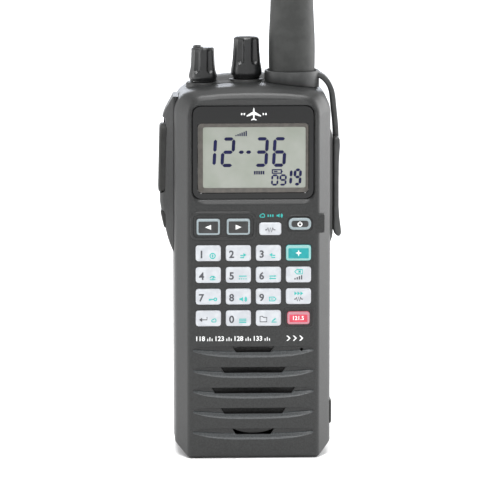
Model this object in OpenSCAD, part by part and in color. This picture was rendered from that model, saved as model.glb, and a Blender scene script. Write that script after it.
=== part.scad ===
// Handheld airband transceiver with battery pack, belt clip and removable antenna.
// Origin: centre of the flat underside. +Z up, +X right seen from the front, front face towards -Y.

/* [Body] */
// Width across the sides
body_w = 54; // [52:0.5:66]
// Height from the underside to the crown of the top
body_h = 129.3; // [128:0.1:158]
// Depth from the front face to the back of the battery pack
body_d = 35.5; // [34:0.5:44]
// Depth of the front case
case_d = 14.75; // [14.5:0.25:18]
// Depth of the chassis tray between the front case and the battery pack
tray_d = 6.4; // [6.4:0.1:8]
// Thickness of the moulded walls
wall = 2; // [1.6:0.1:2.4]
// Radius of the top corners
corner_r = 10; // [7:0.5:12]
// Rise of the crowned top
crown = 1.2; // [0.6:0.1:2]
// Width of the cut bottom corners
foot_cut_w = 4.9; // [3:0.1:6]
// Height of the cut bottom corners
foot_cut_h = 4.5; // [3:0.1:6]
// Width of the bevels beside the front face
bevel_w = 4.65; // [3:0.05:5.5]
// Depth of the bevels beside the front face
bevel_d = 8; // [5:0.5:9]
// Height of the hood above the battery pack
hood_h = 31.3; // [30:0.1:36]
// Distance from the back of the hood to the back of the battery pack
hood_step = 2.75; // [2:0.25:4]
// Thickness of the seal between case and chassis
seal_t = 0.6; // [0.4:0.1:0.8]

/* [Display] */
// Width of the display window
window_w = 41.8; // [36:0.1:42]
// Height of the display window
window_h = 32.2; // [28:0.1:33]
// Corner radius of the display window
window_r = 2.8; // [1:0.1:4]
// Thickness of the display window
window_t = 1.2; // [0.8:0.1:1.5]
// Depth of the window below the front face
window_sink = 1.2; // [0.6:0.1:1.5]
// Distance from the crown down to the top of the window
window_down = 6.4; // [5:0.1:8]
// Width of the liquid crystal module
lcd_w = 38; // [32:0.1:38.5]
// Height of the liquid crystal module
lcd_h = 24; // [20:0.1:25]

/* [Keys] */
// Width of a keypad key
key_w = 8.7; // [6:0.1:9]
// Height of a keypad key
key_h = 5.5; // [4:0.1:6]
// Corner radius of a keypad key
key_r = 0.9; // [0.4:0.1:1.5]
// Spacing of the keypad columns
key_pitch_x = 10.35; // [10.2:0.05:10.5]
// Spacing of the keypad rows
key_pitch_z = 7.57; // [7:0.05:8]
// Distance from the crown down to the first keypad row
keypad_down = 57.2; // [56:0.1:62]
// How far a key stands out of the front face
key_rise = 0.9; // [0.5:0.1:1.5]
// Travel of a key
key_travel = 0.6; // [0.3:0.1:0.8]
// Clearance round a key
key_gap = 0.2; // [0.15:0.01:0.25]

/* [Speaker] */
// Radius of the loudspeaker
speaker_r = 16.6; // [13:0.1:17]
// Height of the loudspeaker centre above the underside
speaker_z = 25.2; // [24:0.1:27]
// Depth of the loudspeaker
speaker_d = 6; // [5:0.1:6.5]
// Width of a grille slot
slot_w = 41.8; // [36:0.1:42]
// Height of a grille slot at its middle
slot_h = 3.9; // [3:0.1:4.5]
// Height of a grille slot at its ends
slot_end_h = 2.2; // [1.5:0.1:2.5]
// Spacing of the grille slots
slot_pitch = 7.25; // [6:0.05:7.4]
// Depth of a grille slot
slot_d = 1.2; // [0.8:0.1:1.4]

/* [Controls] */
// Length of the push-to-talk button
ptt_h = 23.6; // [18:0.1:25]
// Width of the push-to-talk button
ptt_w = 9; // [7:0.1:10]
// Travel of the push-to-talk button
ptt_travel = 0.8; // [0.4:0.1:0.8]
// Length of the side key
side_key_h = 6.1; // [5:0.1:6.5]
// Width of the side key
side_key_w = 6; // [4:0.1:7]
// Travel of the side key
side_key_travel = 0.5; // [0.3:0.1:0.5]
// Height of the volume knob
volume_h = 11.8; // [9:0.1:14.2]
// Widest diameter of the volume knob
volume_d = 9.8; // [9:0.1:11.8]
// Height of the tuning dial
dial_h = 14.5; // [12:0.1:18]
// Widest diameter of the tuning dial
dial_d = 10.8; // [9:0.1:12]
// Diameter of the control shafts
shaft_d = 6; // [5:0.1:7.2]
// Radial running clearance of the control shafts
shaft_gap = 0.08; // [0.05:0.01:0.1]

/* [Antenna] */
// Distance from the body centre to the antenna axis
antenna_x = 14.1; // [13.5:0.1:15]
// Length of the antenna sleeve
antenna_l = 180; // [120:1:220]
// Widest diameter of the antenna sleeve
antenna_d = 16.1; // [15.5:0.1:16.4]
// Diameter of the antenna near its tip
tip_d = 9.6; // [8:0.1:12]
// Outer diameter of the antenna socket barrel
socket_d = 9.6; // [9:0.1:10]

/* [Sockets] */
// Bore of the speaker socket
speaker_jack_d = 3.5; // [3:0.1:4.2]
// Bore of the microphone socket
mic_jack_d = 2.5; // [2:0.1:3]
// Depth of both audio sockets
jack_depth = 15; // [12:0.5:16]
// Bore of the charging socket
dc_jack_d = 5.5; // [4.5:0.1:5.6]
// Thickness of the socket cover flap
flap_t = 2; // [1.6:0.1:3.2]
// Thickness of the cover strap
strap_t = 2; // [1.5:0.1:2.4]

/* [Battery] */
// Thickness of the battery pack's rail plate
rail_plate_t = 3.6; // [3.4:0.1:4]
// Width of the head of a battery rail
rail_w = 3.4; // [3:0.1:4]
// Clearance between rail and groove
rail_gap = 0.3; // [0.2:0.05:0.4]
// Travel of the battery latch
latch_travel = 2.5; // [1.5:0.1:2.6]

/* [Belt clip] */
// Width of the belt clip arm
clip_w = 16; // [12:0.5:17]
// Length of the belt clip arm below its pin
clip_l = 70; // [50:1:78]
// Thickness of the belt clip arm
clip_t = 1.8; // [1.4:0.1:2.4]
// Diameter of the belt clip pin
clip_pin_d = 2; // [1.6:0.1:2.5]
// Gap between the battery pack and the arm
belt_gap = 4.6; // [4.4:0.1:6]

/* [Hidden] */
$fn = 48;
gap = 0.1;        // assembly clearance between fixed pieces
play = 0.3;       // clearance round pieces that move
eps = 0.01;       // overlap that fuses shapes of one piece

half_w = body_w / 2;
front_y = -body_d / 2;
back_y = body_d / 2;
seam_y = front_y + case_d;
inner_y = front_y + wall;
tray_front = seam_y + gap;
tray_back = tray_front + tray_d;
tray_floor = tray_back - wall + 0.4;
pack_front = tray_back + 2 * gap;
pack_top = body_h - hood_h - wall;
hood_z = body_h - hood_h;
hood_back = back_y - hood_step;
hood_floor = hood_z + wall;
crown_r = (pow(half_w - corner_r, 2) + pow(crown, 2)) / (2 * crown);
slope_d = 5;      // depth of the slope above the display
slope_h = 2.3;    // height of the slope above the display
foot_bevel = 1.2; // bevel along the front bottom edge
hood_bevel = 3;   // bevel round the back of the hood

window_z = body_h - window_down - window_h / 2;
window_front = front_y + window_sink;
window_back = window_front + window_t;
lcd_z = window_z - 2;
lcd_front = window_back + 0.15;
lcd_t = 2.4;
view_w = 35.3;    // visible area of the display
view_h = 21.1;

membrane_front = inner_y + 0.15 + 0.8 + key_travel + 0.75;
membrane_t = 0.7;
board_front = membrane_front + membrane_t + 0.3;
board_t = 1;
board_w = body_w - 2 * wall - 9.2;
board_top = body_h - 5.5;
radio_y = board_front + board_t + 4.9;
radio_t = 1.2;
can_h = 3;

post_x = half_w - wall - 2.1;
post_r = 2;
post_z = [28, body_h - 59.3];
screw_r = 0.95;
screw_head_r = 1.9;
screw_head_t = 1.4;

jack_y = seam_y + 1.8;
jack_z = [body_h - 25.8, body_h - 36.8];
jack_r = [speaker_jack_d / 2, mic_jack_d / 2];
jack_barrel_r = max(jack_r) + 1.25;
right_out = 1.1;  // how far the socket wing stands out of the side
dc_y = seam_y - 4.1;
dc_z = 14.75;
dc_barrel_r = dc_jack_d / 2 + 0.6;
dc_cover = [1.25, 6, 8.5];

wing_front = seam_y - 3;
wing_back = seam_y + 11;
wing_floor = half_w + 1.6;
ptt_y = seam_y + 4;
ptt_top = body_h - 14.5;
ptt_z = ptt_top - ptt_h / 2;
ptt_out = [5, 5.6];       // reach beyond the side at its top and bottom
ptt_back = wing_floor + ptt_travel + 0.15;
side_key_y = seam_y + 3;
side_key_z = body_h - 47.65;
side_key_out = [4.9, 3.5];
side_key_back = wing_floor + side_key_travel + 0.3;
plunger_r = [1.5, 0.9];
switch_x = half_w - wall - 0.6;

// outline of the wings: distance beyond the side, distance below the crown
left_wing = [
    [-2.5, 3.5], [0.6, 5.3], [1.7, 7], [3.5, 10.7], [3.8, 12.1], [4, 14.3], [4.8, 38],
    [4.8, 41.6], [4, 46], [3, 50.5], [1.7, 55.6], [0, 58.8], [-1.5, 58.8]
];
right_wing = [[-1.5, 15.9], [0, 15.9], [right_out, 18.9], [right_out, 53.6], [0, 55.6], [-1.5, 55.6]];

top_y = seam_y + 7;       // line of the control shafts
volume_x = 0.3 - (half_w - corner_r);
dial_x = -1.6;
antenna_y = seam_y + 6;
volume_boss = body_h - 0.3;
dial_boss = body_h + 0.8;
volume_collar_r = volume_d / 2 + 0.85;
dial_collar_r = dial_d / 2 + 0.7;
knob_lift = play;
shaft_r = shaft_d / 2;
bush_r = shaft_r + 0.6;
control_z = body_h - 15.3;
control_w = 12;

sleeve_z = body_h + 0.8;
sleeve_r = antenna_d / 2;
socket_r = socket_d / 2;
coupling_in = socket_r + 0.95;
coupling_out = coupling_in + 0.9;
coupling_h = 13;
ring_in = sleeve_r + 0.55;
ring_out = ring_in + 0.95;
ring_h = 4;
antenna_boss_r = ring_out + 0.3;
strap_w = 7;
// outer face of the strap: distance beyond the side, height above the crown
strap_path = [
    [-4.9, 3.4], [-3.5, 2.7], [-2.2, 1.6], [-0.4, 0.2], [1, -1.9], [2, -3.7], [2.4, -5.5],
    [2.4, -7.8], [2.7, -10.2], [3, -13.3], [3.3, -16.6], [3.4, -18.5]
];
flap_in = right_out + gap;
flap_out = flap_in + flap_t;
flap_top = body_h - 18.9;
flap_bottom = body_h - 53.8;
flap_y = [jack_y - jack_barrel_r - 0.7, antenna_y + strap_w / 2];

rail_x = half_w - 8.8;
rail_h = 2.4;
rail_head = 1.2;
rail_stem = 1;
pack_wall = 1.6;
pack_floor = 20;
cells_front = pack_front + rail_plate_t + play;
cell_t = back_y - pack_wall - play - cells_front;
cell_w = (body_w - 2 * pack_wall - 4 * play) / 2 - 1.4;
cell_top = pack_top - pack_wall - 2 * play;
contact_y = pack_front + rail_plate_t + 2.6;
contact_x = [-8, 0, 8];
latch_w = 13;
latch_z = [4.4, 12.8];
latch_lip = 2.5;
latch_t = 1.1;

clip_arm_y = back_y + belt_gap;
clip_pin_r = clip_pin_d / 2;
clip_eye_r = clip_pin_r + 1.8;
clip_pin_z = body_h - 10.3;
clip_base_back = hood_back + 2;
clip_pin_y = clip_base_back + clip_eye_r + 0.4;
clip_ear_t = 2.6;
clip_ear_x = clip_w / 2 + play;
clip_screw_x = clip_ear_x + 1.3;
clip_screw_z = hood_floor + 5;

// name, x, z, width, height, corner radius
KEYS = concat(
    [for (i = [0:15]) [
        ["key_1", "key_2", "key_3", "key_function", "key_4", "key_5", "key_6", "key_clear",
         "key_7", "key_8", "key_9", "key_scan", "key_enter", "key_0", "key_memory", "key_guard"][i],
        (i % 4 - 1.5) * key_pitch_x,
        body_h - keypad_down - floor(i / 4) * key_pitch_z,
        i == 15 ? key_w - 0.9 : key_w,
        i == 15 ? key_h - 1 : key_h,
        key_r
    ]],
    [
        ["key_left", -1.5 * key_pitch_x, body_h - 48, key_w - 0.5, key_h + 0.3, key_r],
        ["key_right", -0.5 * key_pitch_x, body_h - 48, key_w - 0.5, key_h + 0.3, key_r],
        ["key_squelch", 0.56 * key_pitch_x, body_h - 48.8, key_w - 1.1, key_h - 1.15, key_r],
        ["key_power", 1.545 * key_pitch_x, body_h - 47.1, key_w - 0.8, key_h - 1.2, (key_h - 1.25) / 2]
    ]
);

// ---- helpers ----

// extrudes a shape drawn in X and Z from y0 to y1
module prism_y(y0, y1) {
    translate([0, y1, 0])
        rotate([90, 0, 0])
            linear_extrude(y1 - y0)
                children();
}

// extrudes a shape drawn in Y and Z from x0 to x1
module prism_x(x0, x1) {
    translate([x0, 0, 0])
        rotate([90, 0, 90])
            linear_extrude(x1 - x0)
                children();
}

// extrudes a shape drawn in X and Y from z0 to z1
module prism_z(z0, z1) {
    translate([0, 0, z0])
        linear_extrude(z1 - z0)
            children();
}

// box between two opposite corners
module box(a, b) {
    translate(a)
        cube(b - a);
}

module rounded(w, h, r) {
    square([w - 2 * r, h], center = true);
    square([w, h - 2 * r], center = true);
    for (x = [-1, 1], z = [-1, 1])
        translate([x * (w / 2 - r), z * (h / 2 - r)])
            circle(r);
}

// round bar along X or Y, from one coordinate to another
module bar_x(x0, x1, y, z, r) {
    translate([x0, y, z])
        rotate([0, 90, 0])
            cylinder(r = r, h = x1 - x0);
}

module bar_y(x, y0, y1, z, r) {
    translate([x, y1, z])
        rotate([90, 0, 0])
            cylinder(r = r, h = y1 - y0);
}

// how far a bevel of a by b reaches along both edges once everything is set in by g
function bevel(a, b, g) = [
    a + g * (norm([a, b]) - a) / b,
    b + g * (norm([a, b]) - b) / a
];

// front view of the body, set in by g
module outline(g) {
    c = bevel(foot_cut_w, foot_cut_h, g);
    intersection() {
        union() {
            polygon([
                [-half_w + c[0], g], [half_w - c[0], g], [half_w - g, c[1]], [half_w - g, body_h - corner_r],
                [-half_w + g, body_h - corner_r], [-half_w + g, c[1]]
            ]);
            translate([0, body_h - corner_r / 2 - g / 2])
                square([body_w - 2 * corner_r, corner_r - g], center = true);
            for (s = [-1, 1])
                translate([s * (half_w - corner_r), body_h - corner_r])
                    circle(corner_r - g);
        }
        translate([0, body_h - crown_r])
            circle(crown_r - g);
    }
}

// view from above, set in by g, ending at back
module plan(g, back) {
    f = bevel(bevel_w, bevel_d, g);
    b = bevel(hood_bevel, hood_bevel, g);
    polygon([
        [-half_w + f[0], front_y + g], [half_w - f[0], front_y + g], [half_w - g, front_y + f[1]],
        [half_w - g, back - b[1]], [half_w - b[0], back - g], [-half_w + b[0], back - g],
        [-half_w + g, back - b[1]], [-half_w + g, front_y + f[1]]
    ]);
}

// side view, set in by g, ending at back
module profile(g, back) {
    foot = bevel(foot_bevel, foot_bevel, g);
    top = bevel(slope_d, slope_h, g);
    b = bevel(hood_bevel, hood_bevel, g);
    polygon([
        [front_y + foot[0], g], [back, g], [back - g, body_h - b[1]], [back - b[0], body_h - g],
        [front_y + top[0], body_h - g], [front_y + g, body_h - top[1]], [front_y + g, foot[1]]
    ]);
}

// the body's outer form set in by g, between y0 and y1
module skin(g, y0, y1, back = back_y + 4) {
    intersection() {
        prism_y(y0, y1)
            outline(g);
        prism_z(-1, body_h + 1)
            plan(g, back);
        prism_x(-half_w - 1, half_w + 1)
            profile(g, back);
    }
}

// the battery pack's outer form grown by g
module pack_form(g, y0, y1) {
    r = 4 + g;
    intersection() {
        prism_y(y0, y1)
            outline(-g);
        prism_z(-g, pack_top + g)
            union() {
                square([body_w + 2 * g - 2 * r, 2 * (back_y + g)], center = true);
                translate([0, -r])
                    square([body_w + 2 * g, 2 * (back_y + g)], center = true);
                for (s = [-1, 1])
                    translate([s * (half_w + g - r), back_y + g - r])
                        circle(r);
            }
    }
}

module wing(points, side, y0, y1) {
    prism_y(y0, y1)
        polygon([for (p = points) [side * (half_w + p[0]), body_h - p[1]]]);
}

// ---- front case ----

module front_case() {
    color([0.27, 0.27, 0.26])
        difference() {
            union() {
                difference() {
                    skin(0, front_y, seam_y);
                    skin(wall, front_y, seam_y + 1);
                }
                display_seat();
                key_rims();
                screw_posts();
            }
            display_openings();
            key_holes();
            grille_slots();
            for (s = [-1, 1], z = post_z)
                bar_y(s * post_x, inner_y + 3, seam_y + tray_d, z, screw_r + gap / 2);
            for (z = jack_z)
                bar_x(half_w - wall - 1, half_w + 1, jack_y, z, jack_barrel_r + gap);
            seal_ring(gap / 2, seam_y - seal_t + gap, seam_y + 1);
            bar_x(half_w - wall - 1, half_w + 1, dc_y, dc_z, dc_barrel_r + gap);
            box([half_w - dc_cover[0] + 0.45, seam_y - dc_cover[1] - 0.65, dc_z - dc_cover[2] / 2 - gap],
                [half_w + 1, seam_y - 0.4, dc_z + dc_cover[2] / 2 + gap]);
        }
}

// posts that the case screws bite into
module screw_posts() {
    intersection() {
        for (s = [-1, 1], z = post_z)
            bar_y(s * post_x, inner_y - eps, tray_floor - gap / 2, z, post_r);
        skin(wall / 2, front_y, back_y);
    }
}

// ledge behind the panel that carries the display window
module display_seat() {
    translate([0, 0, window_z])
        prism_y(inner_y - eps, window_back + 0.15)
            rounded(window_w + 3, window_h + 1.6, window_r);
}

module display_openings() {
    translate([0, 0, window_z])
        prism_y(front_y - 1, window_back)
            rounded(window_w + 2 * gap, window_h + 2 * gap, window_r + gap);
    translate([0, 0, lcd_z])
        prism_y(front_y, window_back + 1)
            rounded(lcd_w + 2 * gap, lcd_h + 2 * gap, 1);
}

// raised rims round the arrow keys and the guard channel key
module key_rims() {
    arrows = KEYS[16];
    guard = KEYS[15];
    rim_w = 2 * (arrows[3] + 2.9);
    translate([-key_pitch_x, 0, arrows[2] + 0.2])
        prism_y(front_y - 0.5, front_y + eps)
            difference() {
                rounded(rim_w, arrows[4] + 3.6, 2.8);
                rounded(rim_w - 2.4, arrows[4] + 1.2, 1.6);
            }
    translate([guard[1], 0, guard[2]])
        prism_y(front_y - 0.4, front_y + eps)
            difference() {
                rounded(guard[3] + 2.5, guard[4] + 2.4, 1.6);
                rounded(guard[3] + 1.1, guard[4] + 1, 1);
            }
}

module key_holes() {
    for (k = KEYS)
        translate([k[1], 0, k[2]])
            prism_y(front_y - 1, inner_y + 1)
                rounded(k[3] + 2 * key_gap, k[4] + 2 * key_gap, k[5] + key_gap);
}

// bowed grille slots, each with an opening along its upper edge
module grille_slots() {
    sag = slot_h - slot_end_h;
    bow_r = (pow(slot_w / 2, 2) + pow(sag, 2)) / (2 * sag);
    opening_w = [14.9, 22.9, 29.3, 22.9, 14.9];
    for (i = [0:4]) {
        top = speaker_z + (2 - i) * slot_pitch + 0.05;
        prism_y(front_y - 1, front_y + slot_d)
            intersection() {
                translate([-slot_w / 2, top - slot_h])
                    square([slot_w, slot_h]);
                translate([0, top - slot_h + bow_r])
                    circle(bow_r);
            }
        prism_y(front_y, inner_y + 1)
            polygon([
                [-opening_w[i] / 2, top], [opening_w[i] / 2, top],
                [opening_w[i] / 2 - 0.9, top - 1.4], [-opening_w[i] / 2 + 0.9, top - 1.4]
            ]);
    }
    bar_y(16.7, front_y - 1, inner_y + 1, speaker_z + 12.9, 0.5);
}

module display_window() {
    color([0.05, 0.05, 0.06])
        translate([0, 0, window_z])
            prism_y(window_front, window_back)
                rounded(window_w, window_h, window_r);
}

module lcd_module() {
    color([0.67, 0.7, 0.66])
        translate([0, 0, lcd_z]) {
            prism_y(lcd_front, lcd_front + 1)
                rounded(lcd_w, lcd_h, 0.8);
            prism_y(lcd_front + 1 - eps, lcd_front + lcd_t)
                rounded(view_w, view_h, 0.5);
        }
}

// ---- keys ----

module key(k) {
    flange = 0.5;
    white = k[0] != "key_function" && k[0] != "key_guard";
    dark = k[0] == "key_left" || k[0] == "key_right" || k[0] == "key_power";
    shade = dark ? [0.25, 0.25, 0.25] : white ? [0.93, 0.94, 0.95] : k[0] == "key_guard" ? "salmon" : "teal";
    color(shade)
        translate([k[1], 0, k[2]]) {
            prism_y(front_y - key_rise, inner_y + 0.2)
                rounded(k[3], k[4], k[5]);
            prism_y(inner_y + 0.15, inner_y + 0.95)
                rounded(k[3] + 2 * flange, k[4] + 2 * flange, k[5] + flange / 2);
            bar_y(0, inner_y + 0.9, membrane_front - key_travel - gap, 0, 1.2);
        }
}

module keypad_membrane() {
    top = body_h - 43.3;
    bottom = body_h - keypad_down - 3 * key_pitch_z - 4.5;
    color([0.8, 0.8, 0.78])
        translate([0, 0, (top + bottom) / 2])
            prism_y(membrane_front, membrane_front + membrane_t)
                rounded(board_w, top - bottom, 1.5);
}

// ---- loudspeaker and microphone ----

module speaker_frame() {
    color([0.55, 0.55, 0.57])
        translate([0, inner_y + 0.2, speaker_z])
            rotate([-90, 0, 0])
                rotate_extrude()
                    polygon([
                        [speaker_r - 2, 0], [speaker_r, 0], [speaker_r, 1.6],
                        [speaker_r * 0.62, speaker_d - 1.6], [speaker_r * 0.62, speaker_d],
                        [0, speaker_d], [0, speaker_d - 0.9],
                        [speaker_r * 0.5, speaker_d - 0.9], [speaker_r * 0.5, speaker_d - 2.2], [speaker_r - 2, 1]
                    ]);
}

module speaker_cone() {
    color([0.2, 0.2, 0.2])
        translate([0, inner_y + 0.2, speaker_z])
            rotate([-90, 0, 0])
                rotate_extrude()
                    polygon([
                        [0, 1.4], [3.6, 1.9], [speaker_r * 0.55, 0.9], [speaker_r - 2 - gap, 0],
                        [speaker_r - 2 - gap, 0.4], [speaker_r * 0.55, 1.4], [3.6, 2.5], [3.6, 4], [3.1, 4],
                        [3.1, 2.3], [0, 2]
                    ]);
}

module microphone() {
    color([0.75, 0.74, 0.7])
        difference() {
            bar_y(16.7, inner_y + gap, inner_y + 2.4, speaker_z + 12.9, 2.3);
            bar_y(16.7, inner_y, inner_y + 0.8, speaker_z + 12.9, 0.6);
        }
}

// ---- electronics ----

module logic_board() {
    color([0.1, 0.35, 0.2]) {
        box([-board_w / 2, board_front, speaker_z + speaker_r + 2],
            [board_w / 2, board_front + board_t, board_top]);
        box([-9, board_front + board_t - eps, body_h - 55], [3, board_front + board_t + 1.4, body_h - 43]);
        box([-16, board_front + board_t - eps, body_h - 30], [-6, board_front + board_t + 1.2, body_h - 20]);
        box([-3, board_front + board_t - eps, 50], [13, board_front + board_t + 1.6, 54]);
    }
}

module radio_board() {
    color([0.12, 0.38, 0.22])
        box([-board_w / 2, radio_y, 22], [board_w / 2, radio_y + radio_t, board_top]);
    color([0.75, 0.76, 0.78]) {
        for (z = [50, body_h - 52])
            box([-17, radio_y - can_h, z], [17, radio_y + eps, z + 22]);
        box([-17, radio_y + radio_t - eps, 40], [8, radio_y + radio_t + can_h - 1, 78]);
    }
}

module side_switches() {
    color([0.15, 0.3, 0.2])
        mirror([1, 0, 0]) {
            box([switch_x - 2, seam_y + 0.4, side_key_z - 5], [switch_x - 1.2, tray_floor - play, ptt_z + 9]);
            box([switch_x - 1.2 - eps, side_key_y - 1.4, side_key_z - 1.4],
                [switch_x, side_key_y + 1.4, side_key_z + 1.4]);
            box([switch_x - 1.2 - eps, ptt_y - 2, ptt_z - 2], [switch_x, tray_floor - play, ptt_z + 2]);
            box([switch_x - 1.2 - eps, seam_y + 0.5, side_key_z + 6],
                [half_w - wall, seam_y + 3, side_key_z + 8]);
        }
}

module volume_pot() {
    control(volume_x, control_z, body_h - wall - 3.4, volume_boss - 0.2);
}

module dial_encoder() {
    control(dial_x, control_z, body_h - wall - 2.4, dial_boss - 0.2);
}

// switch body with its bushing, bored for the shaft
module control(x, z0, z1, z2) {
    color([0.6, 0.61, 0.63])
        difference() {
            union() {
                box([x - control_w / 2, top_y - control_w / 2 + 0.4, z0],
                    [x + control_w / 2, top_y + control_w / 2 - 0.6, z1]);
                translate([x, top_y, z1 - eps])
                    cylinder(r = bush_r, h = z2 - z1);
            }
            translate([x, top_y, z0 + 4])
                cylinder(r = shaft_r + shaft_gap, h = z2);
        }
}

module jack_block() {
    x1 = half_w + right_out - gap;
    color([0.12, 0.12, 0.12])
        difference() {
            union() {
                box([half_w - wall - gap - 14.5, jack_y - jack_barrel_r - 0.2, jack_z[1] - 4],
                    [half_w - wall - gap, tray_floor - gap, jack_z[0] + 4]);
                for (z = jack_z)
                    bar_x(half_w - wall - 1, x1, jack_y, z, jack_barrel_r);
            }
            for (i = [0, 1])
                bar_x(x1 - jack_depth, x1 + 1, jack_y, jack_z[i], jack_r[i]);
        }
}

module dc_jack() {
    x0 = half_w - wall - 10;
    x1 = half_w - dc_cover[0] + 0.3;
    color([0.14, 0.14, 0.14]) {
        difference() {
            union() {
                box([x0, dc_y - 1.9, dc_z - dc_barrel_r],
                    [half_w - wall - gap, dc_y + dc_barrel_r - 0.1, dc_z + dc_barrel_r]);
                bar_x(x0 + 1, x1, dc_y, dc_z, dc_barrel_r);
            }
            bar_x(x0 + 1, x1 + 1, dc_y, dc_z, dc_jack_d / 2);
        }
        bar_x(x0 + 0.5, x1 - 1, dc_y, dc_z, 0.65);
    }
}

// antenna socket: barrel with bayonet lugs, flange, insulator and centre contact
module bnc_socket() {
    color([0.78, 0.77, 0.74])
        translate([antenna_x, antenna_y, 0]) {
            difference() {
                union() {
                    translate([0, 0, body_h - 11])
                        cylinder(r = socket_r + 0.7, h = 8);
                    translate([0, 0, body_h - 4])
                        cylinder(r = socket_r, h = 14);
                    for (s = [-1, 1])
                        translate([0, 0, body_h + 7.5])
                            rotate([0, 90, 0])
                                translate([0, 0, s * (socket_r + 0.2)])
                                    cylinder(r = 0.9, h = 1, center = true);
                }
                translate([0, 0, body_h - 2])
                    cylinder(r = socket_r - 0.7, h = 20);
            }
            difference() {
                translate([0, 0, body_h - 2 - eps])
                    cylinder(r = 2.1, h = 9);
                translate([0, 0, body_h - 1])
                    cylinder(r = 0.65, h = 20);
            }
        }
}

module battery_contacts() {
    color([0.8, 0.68, 0.35])
        for (x = contact_x)
            box([x - 1, contact_y - 2, pack_top + gap], [x + 1, contact_y + 2, hood_floor + 2]);
    color([0.15, 0.15, 0.15])
        box([-11, contact_y - 3, hood_floor + gap], [11, hood_back - wall - gap, hood_floor + 2.2]);
}

// ---- chassis ----

module seal_ring(g, y0, y1) {
    prism_y(y0, y1)
        difference() {
            outline(0.55 - g);
            outline(wall - 0.45 + g);
        }
}

module main_seal() {
    color([0.1, 0.1, 0.1])
        intersection() {
            difference() {
                seal_ring(0, seam_y - seal_t + 2 * gap, tray_front);
                for (z = jack_z)
                    bar_x(half_w - wall - 1, half_w + 1, jack_y, z, jack_barrel_r + gap);
            }
            skin(0.5, front_y, seam_y + 1);
        }
}

module chassis() {
    color([0.27, 0.28, 0.28])
        difference() {
            union() {
                difference() {
                    union() {
                        skin(0, tray_front, tray_back);
                        intersection() {
                            skin(0, tray_front, hood_back, hood_back);
                            box([-half_w - 1, tray_front, hood_z], [half_w + 1, hood_back, body_h + 1]);
                        }
                    }
                    skin(wall, tray_front - 1, tray_floor);
                    intersection() {
                        skin(wall, tray_front - 1, hood_back, hood_back);
                        box([-half_w, tray_front - 1, hood_floor], [half_w, hood_back - wall, body_h]);
                    }
                }
                side_wings();
                top_bosses();
                rails();
                for (s = [-1, 1])
                    bar_y(s * clip_screw_x, hood_back - wall - 3, hood_back - 0.5, clip_screw_z, 2.6);
            }
            chassis_holes();
        }
}

// wings on both sides: the left one carries the push-to-talk button, the right one the sockets
module side_wings() {
    difference() {
        union() {
            wing(left_wing, -1, wing_front, wing_back);
            wing(right_wing, 1, wing_front, wing_back);
        }
        skin(-gap, front_y, tray_front);
        box([-half_w + wall / 2, tray_front - 1, 0], [half_w - wall / 2, wing_back + 1, body_h]);
        pack_form(play, tray_back, wing_back + 1);
        box([-half_w - 6, ptt_y - ptt_w / 2 - play, ptt_z - ptt_h / 2 - play],
            [-wing_floor, ptt_y + ptt_w / 2 + play, ptt_z + ptt_h / 2 + play]);
        box([-half_w - 6, side_key_y - side_key_w / 2 - play, side_key_z - side_key_h / 2 - play],
            [-wing_floor, side_key_y + side_key_w / 2 + play, side_key_z + side_key_h / 2 + play]);
    }
}

module top_bosses() {
    translate([volume_x, top_y, volume_boss - 4])
        cylinder(r = volume_collar_r, h = 4);
    translate([dial_x, top_y, dial_boss - 3])
        cylinder(r = dial_collar_r, h = 3);
    intersection() {
        translate([antenna_x, antenna_y, body_h - 3])
            cylinder(r = antenna_boss_r, h = 3);
        box([0, tray_front, 0], [half_w, hood_back, body_h + 1]);
    }
}

// T-shaped rails that hold the battery pack
module rails() {
    for (s = [-1, 1]) {
        box([s * rail_x - rail_stem / 2, tray_back - eps, 0],
            [s * rail_x + rail_stem / 2, tray_back + rail_h, pack_top - 3]);
        box([s * rail_x - rail_w / 2, tray_back + rail_h - rail_head, 0],
            [s * rail_x + rail_w / 2, tray_back + rail_h, pack_top - 3]);
    }
}

module chassis_holes() {
    for (s = [-1, 1], z = post_z) {
        bar_y(s * post_x, tray_front, tray_back + 1, z, screw_r + gap);
        bar_y(s * post_x, tray_back - screw_head_t - 2 * gap, tray_back + 1, z, screw_head_r + gap);
    }
    for (z = jack_z)
        bar_x(half_w - wall - 1, half_w + 4, jack_y, z, jack_barrel_r + gap);
    bar_x(-half_w - 6, -half_w + wall + 1, ptt_y, ptt_z, plunger_r[0] + 0.2);
    bar_x(-half_w - 6, -half_w + wall + 1, side_key_y, side_key_z, plunger_r[1] + 0.2);
    for (x = [volume_x, dial_x])
        translate([x, top_y, body_h - 9])
            cylinder(r = bush_r + gap, h = 12);
    translate([antenna_x, antenna_y, body_h - 9])
        cylinder(r = socket_r + gap, h = 12);
    translate([antenna_x, antenna_y, body_h - 11])
        cylinder(r = socket_r + 0.7 + gap, h = 8 + gap);
    for (x = contact_x)
        box([x - 1 - gap, contact_y - 2 - gap, hood_z - 1],
            [x + 1 + gap, contact_y + 2 + gap, hood_floor + 1]);
    for (s = [-1, 1])
        bar_y(s * clip_screw_x, hood_back - wall - 2.5, hood_back + 1, clip_screw_z, screw_r + gap);
}

// four case screws and two belt clip screws
module machine_screws() {
    color([0.7, 0.7, 0.72]) {
        for (s = [-1, 1], z = post_z)
            screw(s * post_x, tray_back - gap, z, 12);
        for (s = [-1, 1])
            screw(s * clip_screw_x, clip_base_back - gap, clip_screw_z, 5.5);
    }
}

// countersunk cross-recess screw with its head at y1
module screw(x, y1, z, l) {
    difference() {
        union() {
            bar_y(x, y1 - screw_head_t, y1, z, screw_head_r);
            bar_y(x, y1 - l, y1 - screw_head_t + eps, z, screw_r);
        }
        for (a = [0, 90])
            translate([x, y1, z])
                rotate([0, a, 0])
                    cube([2.2, 1.4, 0.5], center = true);
    }
}

// ---- buttons on the left side ----

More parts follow.
